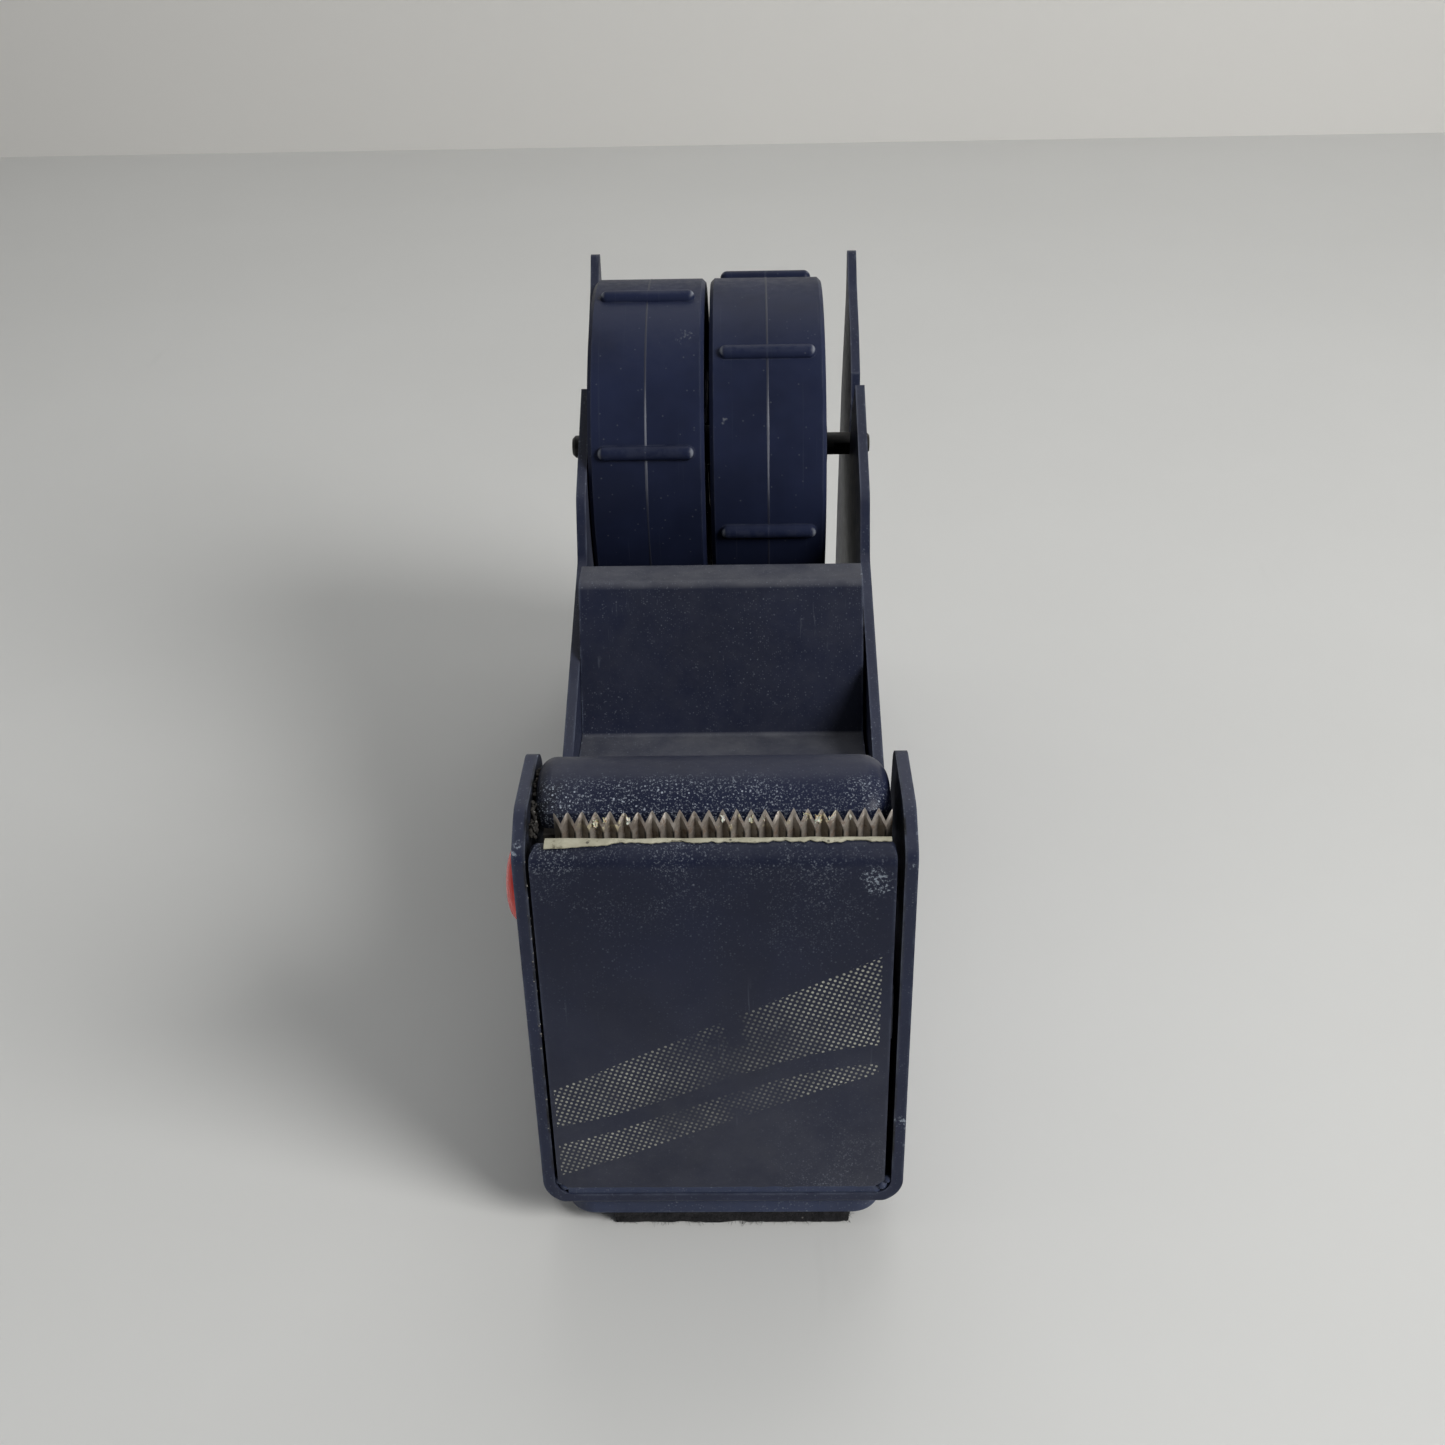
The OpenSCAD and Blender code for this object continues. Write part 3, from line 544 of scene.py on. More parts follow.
def blade_steel():
    """Brown-grey cutter steel with painted shade, near black, in the grooves, and gummed with old tape.
    """
    s = Surface("blade_steel_worn")
    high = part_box("blade")[1]
    x, _, z = s.axes()
    groove = s.add("ShaderNodeAttribute", attribute_name="groove").outputs["Fac"]
    fine = s.noise(1500, 4, 0.65)
    cloud = s.noise(350, 4, 0.6)
    colour = s.mix(s.ramp(cloud, 0.3, 0.7), (0.24, 0.205, 0.175), (0.42, 0.38, 0.34))
    rust = s.ramp(s.noise(600, 4, 0.7), 0.50, 0.66)
    colour = s.mix(s.times(rust, 0.75), colour, (0.11, 0.062, 0.036))
    tops = s.ramp(z, high.z - 1.7 * MM, high.z - 0.6 * MM)
    below = s.ramp(z, high.z - 3.2 * MM, high.z - 2.2 * MM, 1.0, 0.0)
    # Painted shade: the grooves between the pleats go near black below the tips.
    groove_shade = s.times(s.ramp(groove, 0.06, 0.26, 1.0, 0.0), below)
    colour = s.mix(groove_shade, colour, (0.008, 0.007, 0.006))
    gum = None
    for left, right in ((-20, -12), (-2, 8), (11, 19)):
        here = slab(s, x, left * MM, right * MM, 1.5 * MM)
        gum = here if gum is None else s.either(gum, here)
    blobs = s.ramp(s.noise(520, 3, 0.6), 0.56, 0.64)
    gum = s.times(gum, blobs, s.ramp(z, high.z - 3.2 * MM, high.z - 2.0 * MM))
    colour = s.mix(s.times(gum, 0.8), colour, (0.50, 0.44, 0.28))
    rim = s.times(s.edges(0.25 * MM, 0.05, 0.25), tops, 0.6)
    colour = s.mix(rim, colour, (0.42, 0.40, 0.37))
    matte = s.ramp(fine, 0.3, 0.7, 0.4, 0.55)
    s.set(Base_Color=colour, Roughness=s.maths("ADD", matte, s.times(rust, 0.2)))
    bare = s.maths("SUBTRACT", 1.0, s.either(rust, gum, groove_shade))
    s.put(s.shader.inputs["Metallic"], s.times(bare, 0.55))
    s.bumps((fine, 0.35, 0.06 * MM), (gum, 0.6, 0.15 * MM))
    return s.material


def packing_card():
    """Old cream packing, green-grey with dirt."""
    s = Surface("packing_cream")
    fibre = s.noise(1.0, 4, 0.6, s.stretched((350, 1400, 900)))
    stain = s.noise(210, 5, 0.65)
    colour = s.mix(s.ramp(stain, 0.3, 0.7), (0.36, 0.34, 0.25), (0.52, 0.50, 0.39))
    colour = s.mix(s.ramp(s.noise(600, 4, 0.7), 0.55, 0.72), colour, (0.16, 0.145, 0.10))
    colour = s.mix(s.times(specks(s, 900, 0.3, 0.12), 0.8), colour, (0.05, 0.045, 0.04))
    s.set(Base_Color=colour, Roughness=s.ramp(fibre, 0.3, 0.7, 0.75, 0.92))
    s.bumps((fibre, 0.5, 0.12 * MM), (stain, 0.3, 0.2 * MM))
    return s.material


def felt_black():
    """Matted black felt with some lint."""
    s = Surface("felt_black")
    tuft = s.noise(1600, 5, 0.75)
    cloud = s.noise(120, 4)
    colour = s.mix(s.ramp(tuft, 0.3, 0.7), (0.005, 0.005, 0.006), (0.022, 0.021, 0.024))
    lint = s.times(specks(s, 900, 0.2, 0.05), s.ramp(cloud, 0.45, 0.65))
    colour = s.mix(s.times(lint, 0.6), colour, (0.22, 0.21, 0.20))
    s.set(Base_Color=colour, Roughness=s.ramp(tuft, 0.3, 0.7, 0.88, 1.0))
    s.shader.inputs["Sheen Weight"].default_value = 0.06
    s.shader.inputs["Sheen Roughness"].default_value = 0.6
    s.shader.inputs["Specular IOR Level"].default_value = 0.15
    s.bumps((tuft, 0.8, 0.3 * MM), (s.noise(400, 4), 0.6, 0.4 * MM))
    return s.material


def red_cap_plastic():
    """Glossy, slightly cloudy red plastic with handling scratches."""
    s = Surface("red_gloss")
    cloud = s.noise(140, 3)
    scratch = s.ramp(s.noise(1.0, 2, 0.5, s.stretched((80, 900, 140), (0.6, 0, 0))), 0.67, 0.72)
    colour = s.mix(s.ramp(cloud, 0.3, 0.7), (0.84, 0.032, 0.02), (0.94, 0.06, 0.042))
    colour = s.mix(s.times(scratch, 0.25), colour, (0.85, 0.35, 0.32))
    colour = s.mix(s.times(specks(s, 800, 0.2, 0.05), 0.5), colour, (0.55, 0.45, 0.42))
    s.set(Base_Color=colour, Roughness=s.ramp(s.either(scratch, s.noise(700, 2)), 0.3, 1.0, 0.16, 0.34))
    s.shader.inputs["Subsurface Weight"].default_value = 0.35
    s.shader.inputs["Subsurface Radius"].default_value = (1.0, 0.25, 0.18)
    s.shader.inputs["Subsurface Scale"].default_value = 2.5 * MM
    s.shader.inputs["Coat Weight"].default_value = 0.3
    s.bumps((s.noise(300, 2), 0.05, 0.1 * MM), (scratch, -0.3, 0.03 * MM))
    return s.material


def cast_iron():
    """Rough sand-cast iron with rust blooms."""
    s = Surface("cast_iron_rough")
    sand = s.noise(900, 5, 0.7)
    cloud = s.noise(90, 4)
    colour = s.mix(s.ramp(cloud, 0.3, 0.7), (0.030, 0.027, 0.025), (0.075, 0.066, 0.058))
    colour = s.mix(s.ramp(s.noise(160, 5, 0.7), 0.56, 0.7), colour, (0.10, 0.045, 0.02))
    s.set(Base_Color=colour, Roughness=s.ramp(sand, 0.3, 0.7, 0.7, 0.95), Metallic=0.25)
    s.bumps((sand, 0.7, 0.25 * MM), (cloud, 0.3, 0.6 * MM))
    return s.material


# ---------------------------------------------------------------- pieces

def build_rest(material):
    """The tape rest: a pressed crown with rounded ends and a skirt down its back."""
    low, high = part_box("tape_rest")
    crown_r, skirt_t = 10.5 * MM, 1.5 * MM
    foot_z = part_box("head_block")[1].z + 0.05 * MM
    mid_y, mid_z = (low.y + high.y) / 2, high.z - crown_r
    left_r, right_r, turns = 2.6 * MM, 4.6 * MM, 9
    stations = [(low.x + left_r * (1 - math.cos(a)), left_r * (1 - math.sin(a)))
                for a in (math.pi / 2 * k / turns for k in range(turns + 1))]
    flat = [low.x + left_r + (high.x - low.x - left_r - right_r) * k / 24 for k in range(1, 24)]
    stations += [(x, 0.0) for x in flat]
    stations += [(high.x - right_r * (1 - math.sin(a)), right_r * (1 - math.cos(a)))
                 for a in (math.pi / 2 * k / turns for k in range(turns + 1))]
    rings = []
    for x, drop in stations:
        radius, front, back = crown_r - drop, low.y + min(drop, 1.6 * MM), high.y - drop
        start = math.acos(max(-1.0, min(1.0, (front - mid_y) / radius)))
        end = math.acos(max(-1.0, min(1.0, (back - mid_y) / radius)))
        ring = [(front, foot_z)]
        for k in range(33):
            a = start + (end - start) * k / 32
            height = max(foot_z + 0.3 * MM, mid_z + radius * math.sin(a))
            ring.append((mid_y + radius * math.cos(a), height))
        skirt = high.y - min(drop, 1.2 * MM)
        ring += [(back, foot_z + 0.2 * MM), (skirt, foot_z), (skirt, low.z),
                 (high.y - skirt_t, low.z), (high.y - skirt_t, foot_z)]
        rings.append([Vector((x, y, z)) for y, z in ring])
    bm = bmesh.new()
    loft(bm, rings)
    add_mesh("tape_rest_crown", bm, "body", material, ("tape_rest",), smooth=38)


def build_seams(material):
    """Paint-filled seam under the front panel, and weld dabs at its lower corners."""
    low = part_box("front_panel")[0]
    base_z = low.z
    bm = bmesh.new()
    rings = []
    half, steps = 25.6 * MM, 96
    for k in range(steps + 1):
        x = -0.3 * MM - half + 2 * half * k / steps
        wave = field.noise(Vector((x * 420, 2, 5))) * 0.10 * MM
        ring = [(low.y + 0.30 * MM, base_z - 0.15 * MM), (low.y + 0.10 * MM + wave, base_z + 0.35 * MM),
                (low.y + 0.12 * MM + wave, base_z + 0.95 * MM), (low.y + 0.04 * MM, base_z + 1.75 * MM),
                (low.y + 1.2 * MM, base_z + 1.2 * MM), (low.y + 1.2 * MM, base_z - 0.1 * MM)]
        rings.append([Vector((x, y, z)) for y, z in ring])
    loft(bm, rings)
    for side, spots in ((-1, ((27.1, 2.6, 0.8), (26.2, 1.4, 0.95), (25.0, 0.5, 0.8))),
                        (1, ((27.8, 2.5, 0.8), (27.0, 1.3, 0.95), (25.8, 0.4, 0.8)))):
        for x, up, size in spots:
            made = bmesh.ops.create_icosphere(bm, subdivisions=3, radius=size * MM)["verts"]
            at = Vector((side * x * MM - 0.3 * MM, low.y + 0.75 * MM, base_z + up * MM))
            for v in made:
                v.co *= 1 + 0.28 * field.noise(v.co * 1300 + Vector((x, up, side)))
                v.co = Vector((v.co.x, v.co.y * 0.8, v.co.z)) + at
    add_mesh("panel_seam", bm, "body", material, smooth=60)


def build_crumbs(material):
    """Dirt packed between the tape rest's left end and the cheek."""
    low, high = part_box("tape_rest")
    dice = random.Random(31)
    bm = bmesh.new()
    for _ in range(150):
        size = dice.uniform(0.12, 0.42) * MM
        x = low.x - dice.uniform(-0.5, 0.35) * MM
        y = dice.uniform(low.y - 2.2 * MM, high.y - 4 * MM)
        along = max(0.0, (y - low.y) / (high.y - low.y))
        crest = high.z - 4.2 * MM + 2.6 * MM * math.sin(math.pi * along)
        at = Vector((x, y, crest - dice.uniform(0, 2.5) * MM))
        made = bmesh.ops.create_icosphere(bm, subdivisions=2, radius=size)["verts"]
        for v in made:
            v.co = v.co * (1 + 0.5 * field.noise(v.co * 2600 + at * 900)) + at
    add_mesh("grime_crumbs", bm, "body", material, smooth=60)


def build_edge_dust(material):
    """A dotted line of dried dust along the left cheek's inner front edge."""
    dice = random.Random(47)
    edge_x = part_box("frame_channel")[0].x + 2.0 * MM
    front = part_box("frame_channel")[0].y
    bm = bmesh.new()
    for _ in range(110):
        size = dice.uniform(0.07, 0.19) * MM
        z = dice.triangular(14, 78, 70) * MM
        back = max(0.0, z - 76.5 * MM) * 0.9 + 0.35 * MM
        x = edge_x - dice.uniform(0.02, 0.3) * MM
        at = Vector((x, front + back + dice.uniform(-0.3, 0.1) * MM, z))
        made = bmesh.ops.create_icosphere(bm, subdivisions=1, radius=size)["verts"]
        for v in made:
            v.co = v.co * (1 + 0.5 * field.noise(v.co * 3000 + at * 900)) + at
    add_mesh("edge_dust", bm, "body", material, smooth=60)


def dried_dust():
    """Pale brown dried dust."""
    s = Surface("dried_dust")
    fine = s.noise(2200, 3)
    colour = s.mix(s.ramp(fine, 0.3, 0.7), (0.16, 0.145, 0.125), (0.38, 0.36, 0.33))
    s.set(Base_Color=colour, Roughness=s.ramp(fine, 0.3, 0.7, 0.85, 1.0))
    s.bumps((fine, 0.5, 0.05 * MM))
    return s.material


def grime():
    """Black dirt with a few pale bits."""
    s = Surface("grime_black")
    fine = s.noise(1500, 4, 0.7)
    colour = s.mix(s.ramp(fine, 0.3, 0.7), (0.006, 0.0055, 0.005), (0.05, 0.045, 0.04))
    pale = s.ramp(s.noise(800, 2), 0.62, 0.7)
    colour = s.mix(s.times(pale, 0.6), colour, (0.3, 0.29, 0.27))
    s.set(Base_Color=colour, Roughness=s.ramp(fine, 0.3, 0.7, 0.8, 1.0))
    s.bumps((fine, 0.6, 0.1 * MM))
    return s.material


def loft(bm, rings, caps=True):
    """Joins closed rings of points into a skin, and returns the rows of vertices."""
    rows = [[bm.verts.new(p) for p in ring] for ring in rings]
    for a, b in zip(rows, rows[1:]):
        for i in range(len(a)):
            j = (i + 1) % len(a)
            bm.faces.new((a[i], a[j], b[j], b[i]))
    if caps:
        bm.faces.new(rows[0])
        bm.faces.new(list(reversed(rows[-1])))
    return rows


def build_blade(material):
    """The pleated cutter: broad rounded ridges, narrow grooves and slightly bent tips."""
    low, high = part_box("blade")
    teeth, steps = 24, 10
    thick, depth = 0.5 * MM, 1.1 * MM
    front = high.y - thick - depth
    pitch = (high.x - low.x) / teeth
    slope = 2.6 * MM / (depth + thick + 0.1 * MM)
    dice = random.Random(7)
    bend = [dice.uniform(-1, 1) * 0.16 * MM for _ in range(teeth + 1)]
    lean = [dice.uniform(-1, 1) * 0.12 * MM for _ in range(teeth + 1)]
    worn = [max(0.0, dice.gauss(0.05, 0.22)) * MM for _ in range(teeth + 1)]
    for i in (0, 1, 2, 5, 8):
        worn[i] += 0.25 * MM
    levels = (0, 0.5, 0.72, 0.80, 0.86, 0.90, 0.93, 0.96, 0.98, 1.0)
    rings, grooves = [], []
    for k in range(teeth * steps + 1):
        share = k / steps
        gap = abs(share - round(share)) * 2
        fold = min(1.0, (1 - gap) * 1.05)
        x = low.x + share * pitch
        tip = min(teeth, int(round(share)))
        y_front = front + depth * fold
        ring, groove = [], []
        for y, order in ((y_front, levels), (y_front + thick, tuple(reversed(levels)))):
            top = high.z - (high.y - y) * slope
            top -= worn[tip] * fold ** 4
            for level in order:
                z = low.z + (top - low.z) * level
                rise = max(0.0, (z - (high.z - 2.2 * MM)) / (2.2 * MM)) ** 2 * fold
                ripple = field.noise(Vector((x, y, z)) * 700) * 0.04 * MM
                ring.append(Vector((x + lean[tip] * rise, y + bend[tip] * rise + ripple, z)))
                groove.append(fold)
        rings.append(ring)
        grooves += groove
    bm = bmesh.new()
    loft(bm, rings)
    piece = add_mesh("blade_pleats", bm, "body", material, ("blade",), smooth=50)
    mark = piece.data.attributes.new("groove", "FLOAT", "POINT")
    mark.data.foreach_set("value", grooves)


def build_packing(material):
    """The packing strip: folded forward over the panel's roll, ragged in front, wider at the left."""
    low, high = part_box("blade_packing")
    thick = 0.45 * MM
    under, leg_top = high.z - thick, high.z - 1.9 * MM
    wall = low.y + 1.85 * MM
    rings = []
    steps = 170
    for k in range(steps + 1):
        x = low.x + (high.x - low.x) * k / steps
        coarse = field.noise(Vector((x * 260, 3, 1)))
        rag = coarse * 0.42 * MM + field.noise(Vector((x * 1100, 9, 4))) * 0.26 * MM
        wide = min(1.0, max(0.0, (x - low.x - 3 * MM) / (9 * MM)))
        edge = low.y + 0.1 * MM + rag * (0.5 + 1.1 * wide) + wide * 1.25 * MM
        lift = field.noise(Vector((x * 300, 5, 2))) * 0.14 * MM
        top = high.z - 0.12 * MM + lift + 0.2 * MM * (1 - wide)
        back = wall + thick + 0.15 * MM + coarse * 0.12 * MM
        ring = [(edge + 0.10 * MM, under), (edge, under + 0.2 * MM), (edge + 0.10 * MM, top - 0.14 * MM),
                (edge + 0.3 * MM, top - 0.03 * MM), ((edge + back) / 2, top + 0.04 * MM),
                (back - 0.25 * MM, top), (back, top - 0.2 * MM), (back, leg_top),
                (high.y, leg_top), (high.y, low.z), (high.y - thick, low.z),
                (high.y - thick, leg_top - thick), (wall, leg_top - thick), (wall, under)]
        rings.append([Vector((x, y, z)) for y, z in ring])
    bm = bmesh.new()
    loft(bm, rings)
    add_mesh("packing_strip", bm, "body", material, ("blade_packing",), smooth=60)


def build_felt(material):
    """The felt foot with a ragged outline and loose fibres round it."""
    low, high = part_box("felt_foot")
    dice = random.Random(11)
    low, high = low + Vector((2.4 * MM, -0.2 * MM, 0)), high + Vector((0.4 * MM, 0.2 * MM, 0))
    steps_x, steps_y = 70, 260
    plan = [(low.x + (high.x - low.x) * i / steps_x, low.y) for i in range(steps_x)]
    plan += [(high.x, low.y + (high.y - low.y) * i / steps_y) for i in range(steps_y)]
    plan += [(high.x - (high.x - low.x) * i / steps_x, high.y) for i in range(steps_x)]
    plan += [(low.x, high.y - (high.y - low.y) * i / steps_y) for i in range(steps_y)]
    rings = []
    for share, tuck in ((0.0, 0.45), (0.12, 0.08), (0.4, 0.0), (0.7, 0.02), (1.0, 0.12)):
        ring = []
        for x, y in plan:
            wave = field.noise(Vector((x * 240, y * 240, share * 2))) * 0.5
            wave += field.noise(Vector((x * 900, y * 900, share * 5))) * 0.25
            inward = (tuck - wave * 0.8) * MM
            px = x - math.copysign(inward, x) if abs(x) > 0.8 * high.x else x
            py = y - math.copysign(inward, y) if abs(y) > 0.99 * high.y else y
            ring.append(Vector((px, py, low.z + (high.z - low.z) * share)))
        rings.append(ring)
    bm = bmesh.new()
    loft(bm, rings)
    add_mesh("felt_pad", bm, "body", material, ("felt_foot",), smooth=60)
    bm = bmesh.new()
    for _ in range(2600):
        x, y = plan[dice.randrange(len(plan))]
        out = Vector((math.copysign(1, x) if abs(x) >= -low.x * 0.99 else dice.uniform(-0.6, 0.6),
                      math.copysign(1, y) if abs(y) >= high.y * 0.99 else dice.uniform(-0.6, 0.6),
                      dice.uniform(-0.7, 0.5))).normalized()
        start = Vector((x, y, dice.uniform(0.07, 0.92) * high.z)) - out * 0.3 * MM
        length = dice.uniform(0.4, 1.25) * MM
        curl = Vector([dice.uniform(-1, 1) for _ in range(3)]) * 0.3
        side = out.cross(Vector((dice.uniform(-1, 1), dice.uniform(-1, 1), 1))).normalized() * 0.035 * MM
        deep = out.cross(side).normalized() * 0.035 * MM
        rings = []
        for t, size in ((0, 1.0), (0.5, 0.8), (1.0, 0.25)):
            at = start + (out + curl * t * t) * length * t
            at.z = max(at.z, 0.06 * MM)
            rings.append([at + side * size, at + deep * size, at - side * size])
        loft(bm, rings)
    add_mesh("felt_fibres", bm, "body", material, smooth=60)


def turned(name, profile, centre, body, material, replaced=(), count=96):
    """A piece turned round a line along X: the profile lists (x, radius) pairs."""
    bm = bmesh.new()
    rings = []
    for x, radius in profile:
        ring = []
        for k in range(count):
            a = 2 * math.pi * k / count
            ring.append(Vector((x, centre[0] + radius * math.cos(a), centre[1] + radius * math.sin(a))))
        rings.append(ring)
    loft(bm, rings)
    return add_mesh(name, bm, body, material, replaced, smooth=50)


def build_cap(material):
    """The red cap: a domed button with a thin rolled rim."""
    low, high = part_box("bolt_cap")
    centre = ((low.y + high.y) / 2, (low.z + high.z) / 2)
    radius, rise = (high.y - low.y) / 2, high.x - low.x
    profile = [(high.x, 3.7 * MM), (high.x, radius - 0.25 * MM), (high.x - 0.12 * MM, radius - 0.06 * MM),
               (high.x - 0.35 * MM, radius), (high.x - 0.6 * MM, radius - 0.05 * MM)]
    for k in range(1, 15):
        a = math.pi / 2 * k / 14
        profile.append((high.x - 0.6 * MM - (rise - 0.6 * MM) * math.sin(a),
                        (radius - 0.05 * MM) * math.cos(a) ** 0.72 if k < 14 else 0.25 * MM))
    profile.append((low.x + 0.08 * MM, 0.12 * MM))
    turned("bolt_cap_dome", profile, centre, "body", material, ("bolt_cap",))


def build_flash(side, material):
    """The thin bead of flash at a hub's parting line."""
    low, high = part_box(side + "_hub_outer_half")
    part_x = high.x if side == "left" else low.x
    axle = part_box("axle")
    centre_y, centre_z = (axle[0].y + axle[1].y) / 2, (axle[0].z + axle[1].z) / 2
    bm = bmesh.new()
    rings = []
    count = 240
    for k in range(count):
        a = 2 * math.pi * k / count
        swell = 0.5 + 0.5 * field.noise(Vector((math.cos(a) * 3, math.sin(a) * 3, ord(side[0]))))
        height, half = (0.01 + 0.05 * swell) * MM, (0.20 + 0.22 * swell) * MM
        out = Vector((0, math.cos(a), math.sin(a)))
        base = Vector((part_x, centre_y, centre_z)) + out * 36.35 * MM
        foot, shoulder = Vector((half, 0, 0)), Vector((half * 0.4, 0, 0))
        crest = base + out * (height + 0.05 * MM)
        rings.append([base - foot, crest - shoulder, crest + shoulder, base + foot])
    rows = loft(bm, rings, caps=False)
    first, last = rows[0], rows[-1]
    for i in range(4):
        j = (i + 1) % 4
        bm.faces.new((last[i], last[j], first[j], first[i]))
    add_mesh(side + "_hub_flash", bm, side + "_hub", material, smooth=60)


def build_screws(node, axis, material):
    """Screw copies with a cross recess cut into each head."""
    piece = softened(node, "body", material, 0.18 * MM)
    low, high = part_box(node)
    bm = bmesh.new()
    for s in (-1, 1):
        if axis == "Y":
            centre = Vector((s * 16 * MM, high.y, (low.z + high.z) / 2))
            sizes = [(3.6, 1.6, 0.8), (0.8, 1.6, 3.6)]
        else:
            centre = Vector((s * 16 * MM, (low.y + high.y) / 2, high.z))
            sizes = [(3.6, 0.8, 1.6), (0.8, 3.6, 1.6)]
        for size in sizes:
            made = bmesh.ops.create_cube(bm, size=1.0)["verts"]
            bmesh.ops.scale(bm, verts=made, vec=Vector(size) * MM)
            bmesh.ops.translate(bm, verts=made, vec=centre)
    mesh = bpy.data.meshes.new(node + "_recess")
    bm.to_mesh(mesh)
    bm.free()
    cutter = bpy.data.objects.new(node + "_recess", mesh)
    bpy.context.scene.collection.objects.link(cutter)
    cut = piece.modifiers.new("recess", "BOOLEAN")
    cut.operation, cut.object, cut.solver = "DIFFERENCE", cutter, "EXACT"
    cut.use_self = True
    graph = bpy.context.evaluated_depsgraph_get()
    carved = bpy.data.meshes.new_from_object(piece.evaluated_get(graph))
    piece.modifiers.remove(cut)
    piece.data = carved
    bpy.data.objects.remove(cutter)


def build_shreds(material):
    """Crumpled scraps of old tape caught in the teeth."""
    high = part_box("blade")[1]
    dice = random.Random(23)
    bm = bmesh.new()
    spots = ((-17.8, 1.0), (-16.4, 0.7), (-12.9, 0.8), (1.2, 0.7), (5.4, 0.9), (7.2, 0.7), (13.6, 0.9),
             (15.4, 1.3), (17.3, 1.0), (20.2, 0.5))
    for x, size in spots:
        at = Vector((x * MM, high.y - dice.uniform(0.6, 1.2) * MM, high.z - dice.uniform(1.1, 1.7) * MM))
        wide, tall, n = size * 0.9 * MM, size * 1.5 * MM, 6
        faces = []
        for layer in (0, 1):
            rows = []
            for i in range(n + 1):
                row = []
                for j in range(n + 1):
                    u, v = i / n - 0.5, j / n - 0.5
                    rough = field.noise(Vector((u * 3 + x, v * 3, 7))) * 0.35 * MM
                    across = 0.75 + 0.6 * field.noise(Vector((x, v * 5, 3)))
                    along = 0.75 + 0.6 * field.noise(Vector((x, u * 5, 9)))
                    place = (u * wide * across, rough + v * 0.3 * MM + layer * 0.07 * MM,
                             v * tall * along + u * u * 0.5 * MM)
                    row.append(bm.verts.new(at + Vector(place)))
                rows.append(row)
            faces.append(rows)
        for layer, rows in enumerate(faces):
            for i in range(n):
                for j in range(n):
                    bm.faces.new((rows[i][j], rows[i + 1][j], rows[i + 1][j + 1], rows[i][j + 1]))
        a, b = faces
        loops = ([(i, 0) for i in range(n)] + [(n, j) for j in range(n)] + [(n - i, n) for i in range(n)]
                 + [(0, n - j) for j in range(n)])
        for k in range(len(loops)):
            p, q = loops[k], loops[(k + 1) % len(loops)]
            bm.faces.new((a[p[0]][p[1]], a[q[0]][q[1]], b[q[0]][q[1]], b[p[0]][p[1]]))
    add_mesh("tape_shreds", bm, "body", material, smooth=60)


def gum_film():
    """Yellowed adhesive and film."""
    s = Surface("gum_film")
    cloud = s.noise(700, 3)
    colour = s.mix(s.ramp(cloud, 0.35, 0.65), (0.55, 0.46, 0.26), (0.72, 0.70, 0.62))
    s.set(Base_Color=colour, Roughness=s.ramp(cloud, 0.3, 0.7, 0.22, 0.5))
    s.shader.inputs["Subsurface Weight"].default_value = 0.2
    s.shader.inputs["Subsurface Scale"].default_value = 0.4 * MM
    s.bumps((cloud, 0.4, 0.1 * MM))
    return s.material


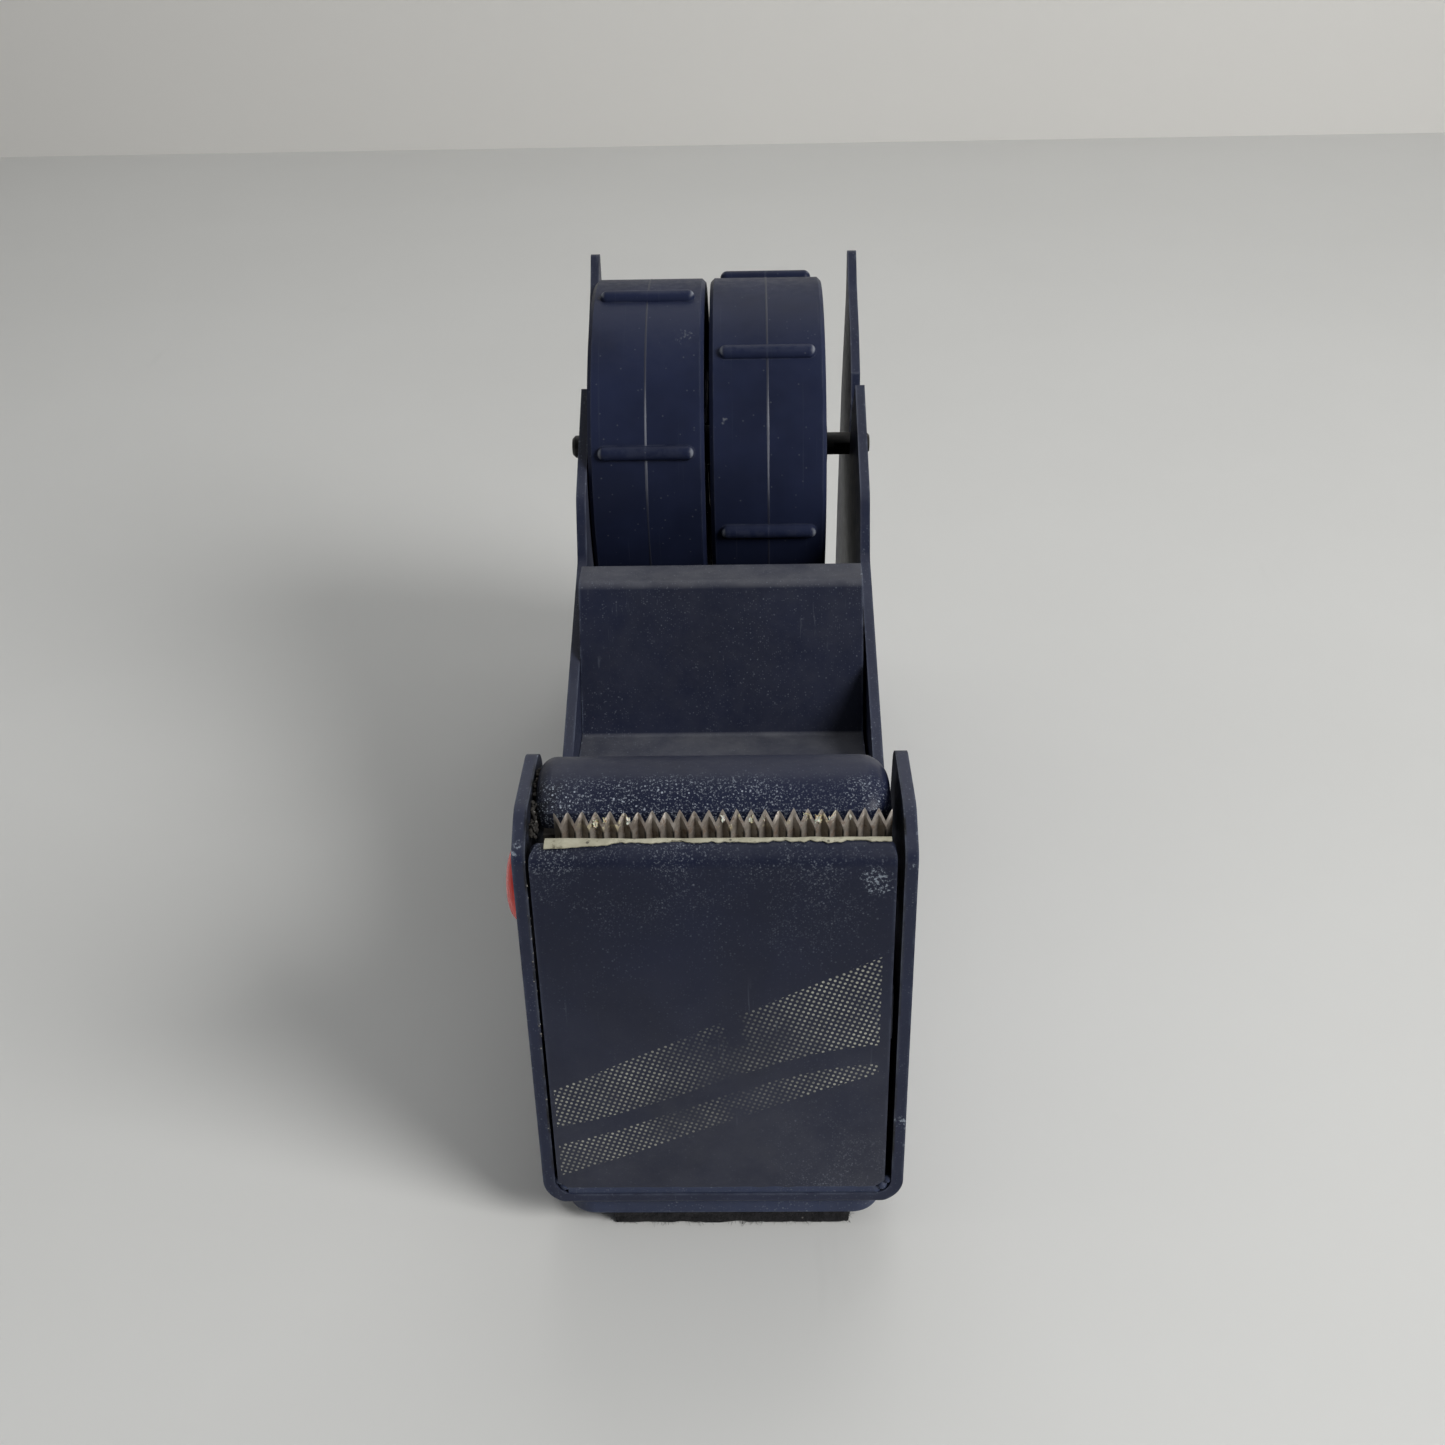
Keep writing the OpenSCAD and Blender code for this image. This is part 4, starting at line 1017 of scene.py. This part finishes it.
def build_body():
    """The steel body: channel, plinth, deck, panel, tape rest, and the dirt that gathers on them."""
    chips = [((-29.2 * MM, -102.4 * MM, 78.3 * MM), 1.0 * MM),
             ((-29.9 * MM, -103.2 * MM, 76.8 * MM), 0.9 * MM),
             ((29.7 * MM, -103.9 * MM, 74.4 * MM), 0.8 * MM),
             ((29.2 * MM, -104 * MM, 24 * MM), 1.3 * MM)]
    # The cheeks' grime zone is painted shade on their inner faces around the head.
    frame_coat = painted("coat_frame", dust=0.07, film=0.012, grains=0.3, wear=0.8, chips=chips,
                         film_and_light_zone=cheek_film, grime_and_shade_zone=cheek_gap_shade)
    softened("frame_channel", "body", frame_coat, 0.3 * MM)
    plinth_coat = painted("coat_plinth", PLINTH_NAVY, dust=0.05, film=0.03, grains=0.5, wear=0.7)
    softened("plinth_plate", "body", plinth_coat, 0.5 * MM)
    # The deck and the panel below take the navy darkened as painted shade.
    deck_coat = painted("coat_deck", SHADED_NAVY, dust=0.30, film=0.003, grains=0.3, wear=1.3, rough=0.36)
    softened("deck_cover", "body", deck_coat, 0.3 * MM)
    scrape = ((24.2 * MM, -104 * MM, 72 * MM), 2.6 * MM)
    # The panel's film zone is painted light from the table, lighter towards the foot.
    panel_coat = painted("coat_panel", SHADED_NAVY, dust=0.05, film=0.006, grains=0.75, wear=0.45,
                         rough=0.42, chips=[scrape],
                         grain_zone=panel_grains, film_and_light_zone=panel_table_light, printed=dot_bands)
    softened("front_panel", "body", panel_coat, 0.25 * MM)
    rest_coat = painted("coat_rest", REST_NAVY, dust=0.0, film=0.003, grains=1.0, wear=0.4,
                        rough=0.36, grain_zone=rest_grains, film_and_light_zone=rest_film, grime_and_shade_zone=rest_grime)
    build_rest(rest_coat)
    build_seams(plinth_coat)
    build_crumbs(grime())
    build_edge_dust(dried_dust())
    nut_coat = painted("coat_nuts", dust=0.05)
    softened("panel_weld_nuts", "body", nut_coat, 0.2 * MM)


def build_hardware():
    """Zinc fasteners, iron blocks and the axle."""
    zinc = steel("zinc_dull", (0.32, 0.32, 0.31), (0.46, 0.46, 0.44), 0.9, 0.42, rust=0.06)
    build_screws("clamp_screws", "Y", zinc)
    build_screws("deck_screws", "Z", zinc)
    for node in ("plinth_screws", "plinth_nuts", "ballast_screws", "tie_bolt"):
        softened(node, "body", zinc, 0.15 * MM)
    iron = cast_iron()
    softened("ballast_block", "body", iron, 0.6 * MM)
    softened("head_block", "body", iron, 0.4 * MM)
    black = steel("black_steel_worn", (0.012, 0.012, 0.013), (0.03, 0.029, 0.028), 0.5, 0.42, rust=0.10)
    softened("axle", "axle", black, 0.12 * MM)


def build_hubs():
    """Both hubs, each as two halves with flash at the parting line and one scuff."""
    flash = flash_plastic()
    scuffs = {"left": ((-7.6 * MM, 32 * MM, 113 * MM), 2.2 * MM),
              "right": ((0.5 * MM, 19 * MM, 99 * MM), 0.9 * MM)}
    for side, scuff in scuffs.items():
        low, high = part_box(side + "_hub_outer_half")
        part_x = high.x if side == "left" else low.x
        plastic = hub_plastic(side + "_hub_navy", part_x, [scuff])
        for half in ("outer", "inner"):
            softened(f"{side}_hub_{half}_half", side + "_hub", plastic, 0.3 * MM)
        build_flash(side, flash)


place_camera()
light_studio()
build_floor()
build_body()
build_blade(blade_steel())
build_packing(packing_card())
build_shreds(gum_film())
build_felt(felt_black())
build_cap(red_cap_plastic())
build_hardware()
build_hubs()
